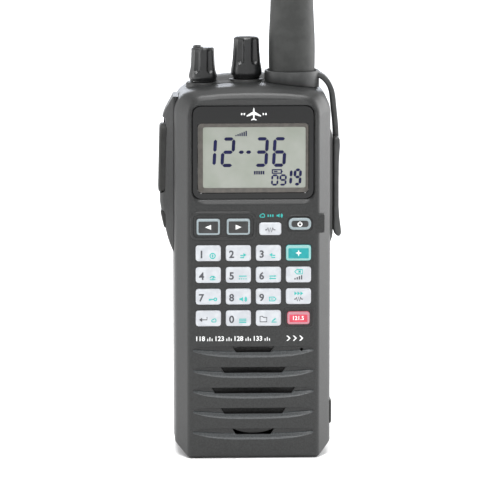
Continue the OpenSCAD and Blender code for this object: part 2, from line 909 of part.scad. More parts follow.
module ptt_button() {
    z0 = ptt_z - ptt_h / 2;
    z1 = ptt_z + ptt_h / 2;
    color([0.2, 0.2, 0.19]) {
        prism_y(ptt_y - ptt_w / 2, ptt_y + ptt_w / 2)
            polygon([
                [-ptt_back, z0], [-ptt_back, z1], [-half_w - ptt_out[0] + 1, z1],
                [-half_w - ptt_out[0], z1 - 1.4], [-half_w - ptt_out[1], z0 + 1],
                [-half_w - ptt_out[1] + 0.7, z0]
            ]);
        bar_x(-ptt_back - eps, -switch_x - ptt_travel - gap, ptt_y, ptt_z, plunger_r[0]);
    }
}

module side_key() {
    z0 = side_key_z - side_key_h / 2;
    z1 = side_key_z + side_key_h / 2;
    color([0.2, 0.2, 0.19]) {
        prism_y(side_key_y - side_key_w / 2, side_key_y + side_key_w / 2)
            polygon([
                [-side_key_back, z0], [-side_key_back, z1], [-half_w - side_key_out[0] + 0.6, z1],
                [-half_w - side_key_out[0], z1 - 0.9], [-half_w - side_key_out[1], z0 + 0.6],
                [-half_w - side_key_out[1] + 0.5, z0]
            ]);
        bar_x(-side_key_back - eps, -switch_x - side_key_travel - gap, side_key_y, side_key_z, plunger_r[1]);
    }
}

// ---- rubber covers on the right side ----

// unit vector across the path at point i
function across(path, i) =
    let (a = path[max(i - 1, 0)], b = path[min(i + 1, len(path) - 1)], d = b - a)
    [d[1], -d[0]] / norm(d);

// points of the strap with its inner face strap_t behind the outer one
function strap_outline(path) = concat(
    path,
    [for (i = [len(path) - 1:-1:0]) path[i] + strap_t * across(path, i)]
);

module jack_cover_strap() {
    path = [for (p = strap_path) [half_w + p[0], body_h + p[1]]];
    color([0.2, 0.2, 0.19])
        difference() {
            union() {
                translate([antenna_x, antenna_y, body_h + 0.05])
                    cylinder(r = ring_out, h = ring_h - 0.3);
                prism_y(antenna_y - strap_w / 2, antenna_y + strap_w / 2)
                    polygon(strap_outline(path));
            }
            translate([antenna_x, antenna_y, body_h - 2])
                cylinder(r = ring_in, h = 10);
            translate([antenna_x, antenna_y, body_h - 3])
                cylinder(r = antenna_boss_r + gap, h = 3 + gap / 2);
        }
}

module jack_cover_flap() {
    x0 = half_w + flap_in;
    x1 = half_w + flap_out;
    color([0.2, 0.2, 0.19])
        prism_y(flap_y[0], flap_y[1])
            polygon([
                [x0, flap_top - 0.6], [x0 + 0.6, flap_top], [x1 - 0.3, flap_top], [x1, flap_top - 3],
                [x1, flap_bottom + 6], [x1 + 0.9, flap_bottom + 1.4], [x1 + 0.4, flap_bottom],
                [x1 - 0.4, flap_bottom], [x0, flap_bottom + 2.4]
            ]);
}

module dc_jack_cover() {
    color([0.2, 0.2, 0.19])
        box([half_w - dc_cover[0] + 0.5, seam_y - 0.6 - dc_cover[1], dc_z - dc_cover[2] / 2],
            [half_w + 0.5, seam_y - 0.6, dc_z + dc_cover[2] / 2]);
}

// ---- knobs ----

// fluted knob: half section lists radius and height pairs, flutes start at flute_z
module knob(x, z, section, top, r_top, flute_z, depth) {
    flute_r = 1.5;
    color([0.18, 0.19, 0.19])
        translate([x, top_y, z])
            difference() {
                rotate_extrude()
                    polygon(concat([[0, 0]], section, [[0, top]]));
                translate([0, 0, -1])
                    cylinder(r = shaft_r + 0.02, h = depth + 1);
                for (a = [4:60:304])
                    rotate([0, 0, a])
                        translate([r_top + flute_r * 0.72, 0, flute_z]) {
                            cylinder(r = flute_r, h = top);
                            sphere(r = flute_r);
                        }
            }
}

module volume_knob() {
    r = volume_d / 2;
    knob(
        volume_x, volume_boss + knob_lift,
        [[r - 0.35, 0], [r - 0.35, 0.9], [r, 1.2], [r - 0.1, 2.2], [r - 0.65, 3.4],
         [r - 0.85, volume_h - 0.7], [r - 1.5, volume_h - 0.1]],
        volume_h, r - 0.75, 4.2, volume_h - 2
    );
    color([0.18, 0.19, 0.19])
        translate([volume_x, top_y, volume_boss + knob_lift + volume_h - 0.3])
            rotate([0, 0, 240])
                translate([0, -0.8, 0])
                    cube([r - 1.6, 1.6, 0.9]);
}

module dial_knob() {
    r = dial_d / 2;
    knob(
        dial_x, dial_boss + knob_lift,
        [[r - 0.85, 0], [r - 0.85, 1.3], [r - 0.15, 2], [r, 2.6], [r - 0.2, 4.2], [r - 0.7, 7],
         [r - 1.1, dial_h - 1.2], [r - 1.7, dial_h - 0.2]],
        dial_h, r - 1, 6.8, dial_h - 2.5
    );
}

module volume_shaft() {
    color([0.7, 0.7, 0.7])
        translate([volume_x, top_y, control_z + 4 + gap])
            cylinder(r = shaft_r, h = volume_boss + knob_lift + volume_h - 2.2 - control_z - 4);
}

module dial_shaft() {
    color([0.7, 0.7, 0.7])
        translate([dial_x, top_y, control_z + 4 + gap])
            cylinder(r = shaft_r, h = dial_boss + knob_lift + dial_h - 2.7 - control_z - 4);
}

// ---- antenna ----

module antenna_sleeve() {
    r = sleeve_r;
    core_r = 2.2;
    color([0.3, 0.3, 0.31])
        translate([antenna_x, antenna_y, sleeve_z])
            difference() {
                rotate_extrude()
                    polygon([
                        [0, 0], [r - 0.5, 0], [r - 0.2, 0.4], [r, 9], [r - 0.1, 14], [r - 0.75, 29],
                        [tip_d / 2 + 0.6, antenna_l * 0.6], [tip_d / 2, antenna_l - 4],
                        [tip_d / 2 * 0.86, antenna_l - 1.6], [tip_d / 2 * 0.5, antenna_l - 0.3], [0, antenna_l]
                    ]);
                translate([0, 0, -1])
                    cylinder(r = coupling_out + 0.02, h = coupling_h + 1);
                cylinder(r = core_r, h = antenna_l - 8);
            }
}

module antenna_coupling() {
    color([0.75, 0.74, 0.72])
        translate([antenna_x, antenna_y, sleeve_z]) {
            difference() {
                cylinder(r = coupling_out, h = coupling_h - gap);
                translate([0, 0, -1])
                    cylinder(r = coupling_in, h = coupling_h - 2.4);
            }
            translate([0, 0, 1.2])
                cylinder(r = 0.5, h = coupling_h - 3);
        }
}

module antenna_coil() {
    color([0.75, 0.5, 0.3])
        translate([antenna_x, antenna_y, sleeve_z + coupling_h])
            cylinder(r = 2.1, h = antenna_l - 8 - coupling_h - gap);
}

// ---- battery pack ----

module battery_case() {
    color([0.26, 0.26, 0.26])
        difference() {
            pack_form(0, pack_front + rail_plate_t, back_y);
            box([-half_w + pack_wall, pack_front, pack_floor],
                [half_w - pack_wall, back_y - pack_wall, pack_top - pack_wall]);
            box([-latch_w / 2 - play, back_y - 2, latch_z[0] - play],
                [latch_w / 2 + play, back_y + 1, latch_z[1] + latch_travel + play]);
            box([-latch_w / 2 - latch_lip - play, back_y - 3.2, latch_z[0] - 0.7 - play],
                [latch_w / 2 + latch_lip + play, back_y - 1.8, latch_z[1] + 0.7 + latch_travel + play]);
            for (x = contact_x)
                box([x - 1.6 - gap, contact_y - 2.4 - gap, pack_top - 0.6],
                    [x + 1.6 + gap, contact_y + 2.4 + gap, pack_top + 1]);
        }
}

module battery_lid() {
    g = rail_gap;
    color([0.2, 0.2, 0.2])
        difference() {
            pack_form(0, pack_front, pack_front + rail_plate_t - gap / 2);
            for (s = [-1, 1]) {
                box([s * rail_x - rail_stem / 2 - g, tray_back, -1],
                    [s * rail_x + rail_stem / 2 + g, tray_back + rail_h, pack_top + 1]);
                box([s * rail_x - rail_w / 2 - g, tray_back + rail_h - rail_head - g, -1],
                    [s * rail_x + rail_w / 2 + g, tray_back + rail_h + g, pack_top + 1]);
            }
        }
}

module battery_cells() {
    color([0.25, 0.45, 0.55])
        for (s = [-1, 1])
            translate([s * (cell_w / 2 + 0.4), 0, (pack_floor + cell_top) / 2 + play])
                prism_y(cells_front, cells_front + cell_t)
                    rounded(cell_w, cell_top - pack_floor - 2 * play, 1.5);
}

module battery_terminals() {
    color([0.8, 0.68, 0.35])
        for (x = contact_x)
            box([x - 1.6, contact_y - 2.4, pack_top - 0.55], [x + 1.6, contact_y + 2.4, pack_top]);
}

module battery_latch() {
    color([0.22, 0.22, 0.22]) {
        box([-latch_w / 2 - latch_lip, back_y - 3.1, latch_z[0] - 0.7],
            [latch_w / 2 + latch_lip, back_y - 3.1 + latch_t, latch_z[1] + 0.7]);
        box([-latch_w / 2, back_y - 3.1 + latch_t - eps, latch_z[0]], [latch_w / 2, back_y - 0.5, latch_z[1]]);
        for (i = [0:3])
            box([-latch_w / 2 + 1, back_y - 0.6, latch_z[0] + 1 + 1.9 * i],
                [latch_w / 2 - 1, back_y - 0.05, latch_z[0] + 1.9 + 1.9 * i]);
    }
}

// ---- belt clip ----

module clip_base() {
    color([0.2, 0.2, 0.2])
        difference() {
            union() {
                box([-clip_ear_x - clip_ear_t - 1, hood_back + 0.05, hood_z + 2],
                    [clip_ear_x + clip_ear_t + 1, clip_base_back, clip_pin_z + 6]);
                for (s = [-1, 1]) {
                    x0 = s * (clip_ear_x + clip_ear_t / 2) - clip_ear_t / 2;
                    bar_x(x0, x0 + clip_ear_t, clip_pin_y, clip_pin_z, clip_eye_r);
                    box([x0, clip_base_back - eps, clip_pin_z - clip_eye_r],
                        [x0 + clip_ear_t, clip_pin_y, clip_pin_z + clip_eye_r]);
                }
            }
            bar_x(-20, 20, clip_pin_y, clip_pin_z, clip_pin_r + 0.02);
            for (s = [-1, 1]) {
                bar_y(s * clip_screw_x, hood_back - 1, clip_base_back + 1, clip_screw_z, screw_r + gap);
                bar_y(s * clip_screw_x, clip_base_back - screw_head_t - 1.5 * gap, clip_base_back + 1,
                      clip_screw_z, screw_head_r + gap);
            }
        }
}

module clip_arm() {
    y0 = clip_arm_y;
    y1 = clip_arm_y + clip_t;
    z = clip_pin_z;
    eye_w = clip_w / 4;
    color([0.2, 0.2, 0.2])
        difference() {
            union() {
                prism_x(-clip_w / 2, clip_w / 2)
                    polygon([
                        [y0, z + 10], [y1, z + 10.4], [y1, z - clip_l + 3], [y1 - 2.2, z - clip_l],
                        [back_y + 0.6, z - clip_l + 2.2], [back_y + 0.6, z - clip_l + 3.6], [y0, z - clip_l + 6.5]
                    ]);
                for (s = [-1, 1]) {
                    x0 = s * (clip_w / 2 - eye_w / 2) - eye_w / 2;
                    bar_x(x0, x0 + eye_w, clip_pin_y, z, clip_eye_r);
                    box([x0, clip_pin_y, z - clip_eye_r], [x0 + eye_w, y0 + eps, z + clip_eye_r]);
                }
                for (i = [0:4])
                    box([-clip_w / 2 + 1.5, y1 - eps, z + 2.4 + 1.5 * i],
                        [clip_w / 2 - 1.5, y1 + 0.4, z + 3.2 + 1.5 * i]);
            }
            bar_x(-clip_w, clip_w, clip_pin_y, z, clip_pin_r + 0.08);
        }
}

module clip_pin() {
    l = 2 * (clip_ear_x + clip_ear_t) - 2 * gap;
    color([0.75, 0.75, 0.77])
        bar_x(-l / 2, l / 2, clip_pin_y, clip_pin_z, clip_pin_r);
}

// torsion spring round the pin with one leg against the base and one behind the arm's thumb end
module clip_spring() {
    wire_r = 0.35;
    coil_r = clip_pin_r + wire_r + 0.3;
    turns = 4;
    pitch = 1.1;
    reach = (turns - 1) / 2 * pitch;
    color([0.8, 0.8, 0.82])
        translate([0, clip_pin_y, clip_pin_z]) {
            difference() {
                union() {
                    for (i = [0:turns - 1])
                        bar_x(i * pitch - reach - wire_r, i * pitch - reach + wire_r, 0, 0, coil_r + wire_r);
                    bar_x(-reach, reach, 0, 0, coil_r + wire_r / 3);
                }
                bar_x(-reach - 1, reach + 1, 0, 0, coil_r - wire_r);
            }
            translate([-reach, -coil_r, -6])
                cylinder(r = wire_r, h = 6.2);
            translate([reach, coil_r, -0.2])
                cylinder(r = wire_r, h = 6.2);
        }
}

// ---- assembly ----

front_case();
display_window();
lcd_module();
keypad_membrane();
speaker_frame();
speaker_cone();
microphone();
logic_board();
radio_board();
main_seal();
chassis();
machine_screws();
bnc_socket();
volume_pot();
dial_encoder();
jack_block();
dc_jack();
side_switches();
battery_contacts();
jack_cover_strap();
jack_cover_flap();
dc_jack_cover();
volume_knob();
volume_shaft();
dial_knob();
dial_shaft();
antenna_sleeve();
antenna_coupling();
antenna_coil();
ptt_button();
side_key();
for (k = KEYS)
    key(k);
battery_case();
battery_lid();
battery_cells();
battery_terminals();
battery_latch();
clip_base();
clip_arm();
clip_pin();
clip_spring();
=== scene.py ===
import bpy
import bmesh
import math
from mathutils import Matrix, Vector


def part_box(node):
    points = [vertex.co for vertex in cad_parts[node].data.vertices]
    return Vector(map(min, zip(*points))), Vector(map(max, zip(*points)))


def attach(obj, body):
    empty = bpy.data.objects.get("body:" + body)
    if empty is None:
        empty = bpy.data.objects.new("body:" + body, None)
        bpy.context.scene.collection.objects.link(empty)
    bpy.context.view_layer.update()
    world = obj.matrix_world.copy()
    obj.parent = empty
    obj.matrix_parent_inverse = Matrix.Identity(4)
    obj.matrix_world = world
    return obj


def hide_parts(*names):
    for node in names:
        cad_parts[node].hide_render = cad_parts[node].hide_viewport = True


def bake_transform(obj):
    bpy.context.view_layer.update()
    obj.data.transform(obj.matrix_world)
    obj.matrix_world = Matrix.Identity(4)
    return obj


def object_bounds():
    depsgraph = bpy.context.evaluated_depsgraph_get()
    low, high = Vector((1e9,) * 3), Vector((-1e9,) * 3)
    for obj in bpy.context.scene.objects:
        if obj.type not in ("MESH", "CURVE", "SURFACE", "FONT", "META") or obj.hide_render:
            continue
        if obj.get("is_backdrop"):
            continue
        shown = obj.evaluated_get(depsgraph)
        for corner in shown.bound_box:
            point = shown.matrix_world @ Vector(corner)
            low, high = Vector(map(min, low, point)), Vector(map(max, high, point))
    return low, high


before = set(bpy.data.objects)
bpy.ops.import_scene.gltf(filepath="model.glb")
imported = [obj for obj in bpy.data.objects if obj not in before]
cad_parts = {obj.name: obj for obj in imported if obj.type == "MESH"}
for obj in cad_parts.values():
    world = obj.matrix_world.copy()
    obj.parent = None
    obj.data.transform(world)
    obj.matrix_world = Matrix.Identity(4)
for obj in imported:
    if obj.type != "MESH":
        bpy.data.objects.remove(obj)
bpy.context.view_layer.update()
scene = bpy.context.scene
mm = 0.001
print("airband radio: frame loaded with", len(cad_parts), "nodes")


# measures read from the frame, in millimetres

def span(node):
    low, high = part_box(node)
    return low / mm, high / mm


def middle(node):
    low, high = span(node)
    return (low + high) / 2


caseHigh = span("front_case")[1]
packLow, packHigh = span("battery_case")
windowLow, windowHigh = span("display_window")
frontY = windowLow.y - 1.2        # the window is sunk this far into the front face
seamY = caseHigh.y
backY = packHigh.y
halfWidth = caseHigh.x
bodyTop = caseHigh.z
trayFront = seamY + 0.1


# small helpers for colour, nodes and meshes

def hexColour(code):
    channels = [int(code[i:i + 2], 16) / 255 for i in (0, 2, 4)]
    return tuple(c / 12.92 if c <= 0.04045 else ((c + 0.055) / 1.055) ** 2.4 for c in channels) + (1.0,)


def addNode(tree, kind, settings=None, links=None):
    node = tree.nodes.new(kind)
    for name, value in (settings or {}).items():
        if name in node.inputs:
            node.inputs[name].default_value = value
        else:
            setattr(node, name, value)
    for name, source in (links or {}).items():
        tree.links.new(source, node.inputs[name])
    return node


def finishOf(name, colour, roughness, sockets=None):
    material = bpy.data.materials.new(name)
    material.use_nodes = True
    shader = material.node_tree.nodes["Principled BSDF"]
    shader.inputs["Base Color"].default_value = hexColour(colour)
    shader.inputs["Roughness"].default_value = roughness
    for socket, value in (sockets or {}).items():
        shader.inputs[socket].default_value = value
    material.diffuse_color = hexColour(colour)
    return material


def grainOn(material, size, depth, strength=1.0, detail=2.0):
    # moulded or etched grain: a noise of the given width and depth in millimetres, as a bump
    tree = material.node_tree
    shader = tree.nodes["Principled BSDF"]
    place = addNode(tree, "ShaderNodeTexCoord")
    noise = addNode(tree, "ShaderNodeTexNoise",
                    {"Scale": 1 / (size * mm), "Detail": detail, "Roughness": 0.55},
                    {"Vector": place.outputs["Object"]})
    bump = addNode(tree, "ShaderNodeBump", {"Strength": strength, "Distance": depth * mm},
                   {"Height": noise.outputs["Fac"]})
    tree.links.new(bump.outputs["Normal"], shader.inputs["Normal"])
    return noise


def shadesOn(material, size, dark, light, low=0.4, high=0.6):
    # colour that drifts between two shades over patches of the given width in millimetres
    tree = material.node_tree
    shader = tree.nodes["Principled BSDF"]
    place = addNode(tree, "ShaderNodeTexCoord")
    noise = addNode(tree, "ShaderNodeTexNoise", {"Scale": 1 / (size * mm), "Detail": 3.0},
                    {"Vector": place.outputs["Object"]})
    ramp = addNode(tree, "ShaderNodeValToRGB", links={"Fac": noise.outputs["Fac"]})
    ramp.color_ramp.elements[0].position = low
    ramp.color_ramp.elements[0].color = hexColour(dark)
    ramp.color_ramp.elements[1].position = high
    ramp.color_ramp.elements[1].color = hexColour(light)
    tree.links.new(ramp.outputs["Color"], shader.inputs["Base Color"])
    return ramp


def newPiece(name, bm, material, body=None, angle=35, weighted=True):
    bmesh.ops.remove_doubles(bm, verts=bm.verts, dist=1e-7)
    bmesh.ops.recalc_face_normals(bm, faces=bm.faces)
    mesh = bpy.data.meshes.new(name)
    bm.to_mesh(mesh)
    bm.free()
    piece = bpy.data.objects.new(name, mesh)
    scene.collection.objects.link(piece)
    if material:
        mesh.materials.append(material)
    if body:
        dress(piece, body, angle, weighted)
    return piece


def dress(piece, body, angle=35, weighted=True):
    # smooth shading with crisp edges above the angle, then the body and finish it belongs to
    piece.data.shade_smooth()
    piece.data.set_sharp_from_angle(angle=math.radians(angle))
    if weighted:
        even = piece.modifiers.new("evenShading", "WEIGHTED_NORMAL")
        even.keep_sharp = True
        even.weight = 60
    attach(piece, body)
    return piece


def loft(rings, capped=True, bm=None):
    # skin over rings of points in millimetres that all have the same count
    bm = bm or bmesh.new()
    rows = [[bm.verts.new(Vector(p) * mm) for p in ring] for ring in rings]
    count = len(rows[0])
    for a, b in zip(rows, rows[1:]):
        for i in range(count):
            j = (i + 1) % count
            bm.faces.new((a[i], a[j], b[j], b[i]))
    if capped:
        bm.faces.new(list(reversed(rows[0])))
        bm.faces.new(rows[-1])
    return bm


def softCorners(points, reaches, steps=5):
    # closed outline with every corner rounded over the given reach along its edges
    outline = []
    count = len(points)
    for i, corner in enumerate(points):
        corner = Vector(corner)
        before = Vector(points[i - 1])
        after = Vector(points[(i + 1) % count])
        reach = reaches[i] if isinstance(reaches, (list, tuple)) else reaches
        reach = min(reach, (before - corner).length * 0.49, (after - corner).length * 0.49)
        a = corner + (before - corner).normalized() * reach
        b = corner + (after - corner).normalized() * reach
        for k in range(steps + 1):
            t = k / steps
            outline.append((1 - t) ** 2 * a + 2 * t * (1 - t) * corner + t * t * b)
    return outline


def softBox(width, height, reach, steps=5, centre=(0, 0)):
    w, h = width / 2, height / 2
    x, z = centre
    corners = [(x - w, z - h), (x + w, z - h), (x + w, z + h), (x - w, z + h)]
    return softCorners(corners, min(reach, w * 0.98, h * 0.98), steps)


def alongY(outline, y):
    return [(p[0], y, p[1]) for p in outline]


def alongX(outline, x):
    return [(x, p[0], p[1]) for p in outline]


def alongZ(outline, z):
    return [(p[0], p[1], z) for p in outline]


def turned(profile, steps=96, centre=(0, 0), capped=True, bm=None):
    # lathe: profile of radius and height pairs, turned round a vertical line
    rings = []
    for radius, z in profile:
        rings.append([(centre[0] + radius * math.cos(math.tau * i / steps),
                       centre[1] + radius * math.sin(math.tau * i / steps), z) for i in range(steps)])
    return loft(rings, capped, bm)


def tubeAlong(path, radius, sides=10, closed=False, bm=None, squash=1.0):
    # round or flattened rod along a path of points in millimetres
    bm = bm or bmesh.new()
    points = [Vector(p) for p in path]
    count = len(points)
    rows = []
    up = Vector((0, 1, 0))
    for i, point in enumerate(points):
        ahead = points[(i + 1) % count] if closed else points[min(i + 1, count - 1)]
        behind = points[i - 1] if closed else points[max(i - 1, 0)]
        along = (ahead - behind).normalized()
        side = along.cross(up)
        side = side.normalized() if side.length > 1e-3 else Vector((1, 0, 0))
        lift = side.cross(along).normalized()
        rows.append([bm.verts.new((point + side * radius * math.cos(math.tau * k / sides)
                                   + lift * radius * squash * math.sin(math.tau * k / sides)) * mm)
                     for k in range(sides)])
    pairs = list(zip(rows, rows[1:])) + ([(rows[-1], rows[0])] if closed else [])
    for a, b in pairs:
        for k in range(sides):
            j = (k + 1) % sides
            bm.faces.new((a[k], a[j], b[j], b[k]))
    if not closed:
        bm.faces.new(list(reversed(rows[0])))
        bm.faces.new(rows[-1])
    return bm


def carve(base, tools, operation="DIFFERENCE"):
    # cuts or joins closed tool pieces, then throws the tools away
    for tool in tools:
        step = base.modifiers.new("carve", "BOOLEAN")
        step.object = tool
        step.operation = operation
        step.solver = "MANIFOLD"
    bpy.context.view_layer.update()
    depsgraph = bpy.context.evaluated_depsgraph_get()
    result = bpy.data.meshes.new_from_object(base.evaluated_get(depsgraph))
    before = len(base.data.vertices)
    base.modifiers.clear()
    spare = base.data
    base.data = result
    bpy.data.meshes.remove(spare)
    for tool in tools:
        bpy.data.objects.remove(tool)
    print("  carved", base.name, operation.lower(), before, "to", len(result.vertices), "vertices")
    return base


def tool(bm):
    return newPiece("carvingTool", bm, None)


def softLess(a, b, k):
    # the smaller of two values, with a rounded change from one to the other
    h = max(k - abs(a - b), 0) / k
    return min(a, b) - h * h * k / 4


# materials

# moulded PC and ABS blend, spark-eroded mould: dark grey with a fine sparkling grain
caseFinish = finishOf("moulded PC-ABS, eroded grain", "191a1a", 0.42, {"IOR": 1.48})
ledgeHighlightPaint = finishOf("moulded PC-ABS, ledge with painted highlight", "353839", 0.34, {"IOR": 1.48})
shadesOn(ledgeHighlightPaint, 0.45, "2e3132", "3d4042")     # painted highlight: paler than the face, so each slot reads as a lit shelf
shadesOn(caseFinish, 0.45, "121313", "1e1f1f")      # grain of 0.2 mm drawn coarser so that it shows
grainOn(caseFinish, 0.5, 0.035, 0.6, 3.0)

# moulded ABS from a polished mould: the knobs, smooth with a soft gloss
knobFinish = finishOf("moulded ABS, satin", "18191a", 0.3, {"IOR": 1.54})
shadesOn(knobFinish, 6, "161718", "1b1c1d")
grainOn(knobFinish, 0.6, 0.006, 0.5)

# thermoplastic elastomer, moulded: matt covers and buttons that feel soft
rubberFinish = finishOf("moulded TPE rubber", "1f1f1e", 0.62,
                        {"IOR": 1.45, "Sheen Weight": 0.05, "Sheen Roughness": 0.4})
shadesOn(rubberFinish, 3, "1c1c1b", "232322")
grainOn(rubberFinish, 0.35, 0.02, 0.5)

# the elastomer of the socket cover: the button rubber drawn paler as painted light, where more light falls on
# the ring on top and the strap and flap on the right, and a touch smoother than the buttons
coverPaintedLightRubber = finishOf("moulded TPE, socket cover painted lighter", "333434", 0.5, {"IOR": 1.5})
shadesOn(coverPaintedLightRubber, 3, "303131", "383939")
grainOn(coverPaintedLightRubber, 0.35, 0.02, 0.5)

# extruded polyurethane sleeve: satin, with faint draw variation
antennaFinish = finishOf("extruded polyurethane sleeve", "2f302f", 0.6, {"IOR": 1.42})
shadesOn(antennaFinish, 4, "2c2d2c", "333433")
grainOn(antennaFinish, 0.5, 0.012, 0.5)

# injection-moulded acrylic with a hard coat, printed black behind: deep gloss
windowFinish = finishOf("moulded acrylic, hard coated", "0b0c0d", 0.06, {"IOR": 1.43})
grainOn(windowFinish, 9, 0.01, 0.15)

# twisted nematic liquid crystal glass over a foil reflector: soft grey green
lcdFinish = finishOf("reflective liquid crystal glass", "95998f", 0.35,
                     {"IOR": 1.5, "Coat Weight": 1.0, "Coat Roughness": 0.02})
shadesOn(lcdFinish, 14, "7a8075", "868a82")
grainOn(lcdFinish, 0.12, 0.004, 0.4)

# switched crystal segments: dark blue through the polariser
segmentFinish = finishOf("liquid crystal segment, switched on", "15163a", 0.5, {"IOR": 1.25})
shadesOn(segmentFinish, 5, "131436", "181a40")

# painted steel frame round the glass: grey brown
bezelFinish = finishOf("enamelled steel frame", "47443f", 0.45, {"IOR": 1.45})
shadesOn(bezelFinish, 2, "423f3b", "4d4944")
grainOn(bezelFinish, 0.3, 0.008, 0.5)


def siliconeFinish(name, colour, dark, light):
    # compression-moulded silicone with a spray topcoat: even, silky, light sinks in a little
    material = finishOf(name, colour, 0.38,
                        {"IOR": 1.43, "Subsurface Weight": 0.08, "Subsurface Scale": 0.0006})
    material.node_tree.nodes["Principled BSDF"].inputs["Subsurface Radius"].default_value = (1.0, 0.8, 0.7)
    shadesOn(material, 2.5, dark, light)
    grainOn(material, 0.3, 0.008, 0.5)
    return material


keyFinishes = {
    "white": siliconeFinish("moulded silicone, white", "b4b7bc", "afb2b7", "b9bcc0"),
    "teal": siliconeFinish("moulded silicone, teal", "0f888b", "0d8184", "128f92"),
    "red": siliconeFinish("moulded silicone, guard red", "c13c50", "b93649", "c74256"),
    "dark": siliconeFinish("moulded silicone, charcoal", "2c2c2d", "292929", "313132"),
}


def inkAndRimHighlightFinish(name, colour, light):
    # pad-printed epoxy ink, and the painted highlights on the key rims: flat colour with a slightly broken
    # edge to its gloss
    material = finishOf(name, colour, 0.45)
    shadesOn(material, 0.4, colour, light)
    grainOn(material, 0.25, 0.004, 0.5)
    return material


inks = {
    "dark": inkAndRimHighlightFinish("printed ink, dark grey", "3a3b40", "43444a"),
    "teal": inkAndRimHighlightFinish("printed ink, teal", "1c9f9a", "25a8a2"),
    "white": inkAndRimHighlightFinish("printed ink, white", "dcdede", "e6e7e7"),
}

# nickel-plated brass, turned and plated: warm white metal with fine turning marks
nickelFinish = finishOf("plated nickel on brass", "c9c3b6", 0.28, {"Metallic": 1.0})
shadesOn(nickelFinish, 3, "c2bcae", "d0cabd")
grainOn(nickelFinish, 0.3, 0.004, 0.6)

# cold-headed stainless steel: screws, pins and the spring
steelFinish = finishOf("cold-headed stainless steel", "b9babd", 0.32, {"Metallic": 1.0})
shadesOn(steelFinish, 2, "aeb0b3", "c3c4c7")
grainOn(steelFinish, 0.25, 0.006, 0.6)

# hard gold flash over nickel: battery contacts
goldFinish = finishOf("gold flash over nickel", "e2b356", 0.25, {"Metallic": 1.0})
shadesOn(goldFinish, 2, "dba94b", "e8bd66")
grainOn(goldFinish, 0.3, 0.004, 0.5)

# epoxy glass laminate under green solder mask, with tracks showing as lighter bands
boardFinish = finishOf("epoxy glass board, green mask", "14502f", 0.3,
                       {"Coat Weight": 0.5, "Coat Roughness": 0.15})
shadesOn(boardFinish, 2.2, "0f4327", "1c6a3d", 0.48, 0.52)
grainOn(boardFinish, 1.1, 0.03, 0.6)

# pressed steel basket, drawn black as painted shade so the grille openings stay dark: soft sheen
basketShadeBlack = finishOf("pressed steel, painted black as shade", "161616", 0.5)
shadesOn(basketShadeBlack, 4, "131313", "1a1a1a")
grainOn(basketShadeBlack, 0.6, 0.01, 0.5)

# coated paper pulp cone: dull black fibres; the microphone takes the same dark finish as painted shade for
# its sound hole
coneAndMicShadeFinish = finishOf("coated paper pulp", "1c1c1c", 0.85)
shadesOn(coneAndMicShadeFinish, 0.6, "171717", "242424")
grainOn(coneAndMicShadeFinish, 0.25, 0.05, 0.8)

# heat-shrunk PET sleeve over the cells: smooth, slightly wavy film
sleeveFinish = finishOf("heat-shrunk PET sleeve", "2d6f8e", 0.25, {"Coat Weight": 0.4})
shadesOn(sleeveFinish, 12, "2a6784", "337a9b")
grainOn(sleeveFinish, 3, 0.06, 0.4)

# moulded silicone dome sheet behind the keys
domeFinish = finishOf("moulded silicone sheet", "b9bab6", 0.5,
                      {"Subsurface Weight": 0.1, "Subsurface Scale": 0.001})
shadesOn(domeFinish, 3, "b2b3ae", "c1c2bd")
grainOn(domeFinish, 0.4, 0.01, 0.5)

# glass-filled nylon: latch, clip and jack block, matt with faint fibre streaks
nylonFinish = finishOf("glass-filled nylon", "202021", 0.5, {"IOR": 1.53})
shadesOn(nylonFinish, 0.8, "1c1c1d", "272728")
grainOn(nylonFinish, 0.4, 0.02, 0.6, 4.0)
print("materials ready:", len(bpy.data.materials))


# body form shared by the front case, the chassis and the battery

body = {
    "sideBevel": (4.65, 8.0),      # how far the side bevel goes in, and how deep it runs
    "topSlope": (2.3, 5.0),
    "footBevel": (1.2, 1.2),
    "frontLips": (1.0, 1.7, 0.5),  # rounding where sides, top and foot meet the front face
    "cornerRadius": 10.0,
    "crown": 1.2,
    "footCut": (4.9, 4.5),
    "wall": 2.0,
}
crownRadius = ((halfWidth - body["cornerRadius"]) ** 2 + body["crown"] ** 2) / (2 * body["crown"])


def fading(depth, amount, length, soft):
    # an inset that fades to nothing over a depth, rounded where it ends
    left = 1 - depth / length
    k = soft / length
    if left > k:
        return amount * left
    return amount * max(left + k, 0) ** 2 / (4 * k)


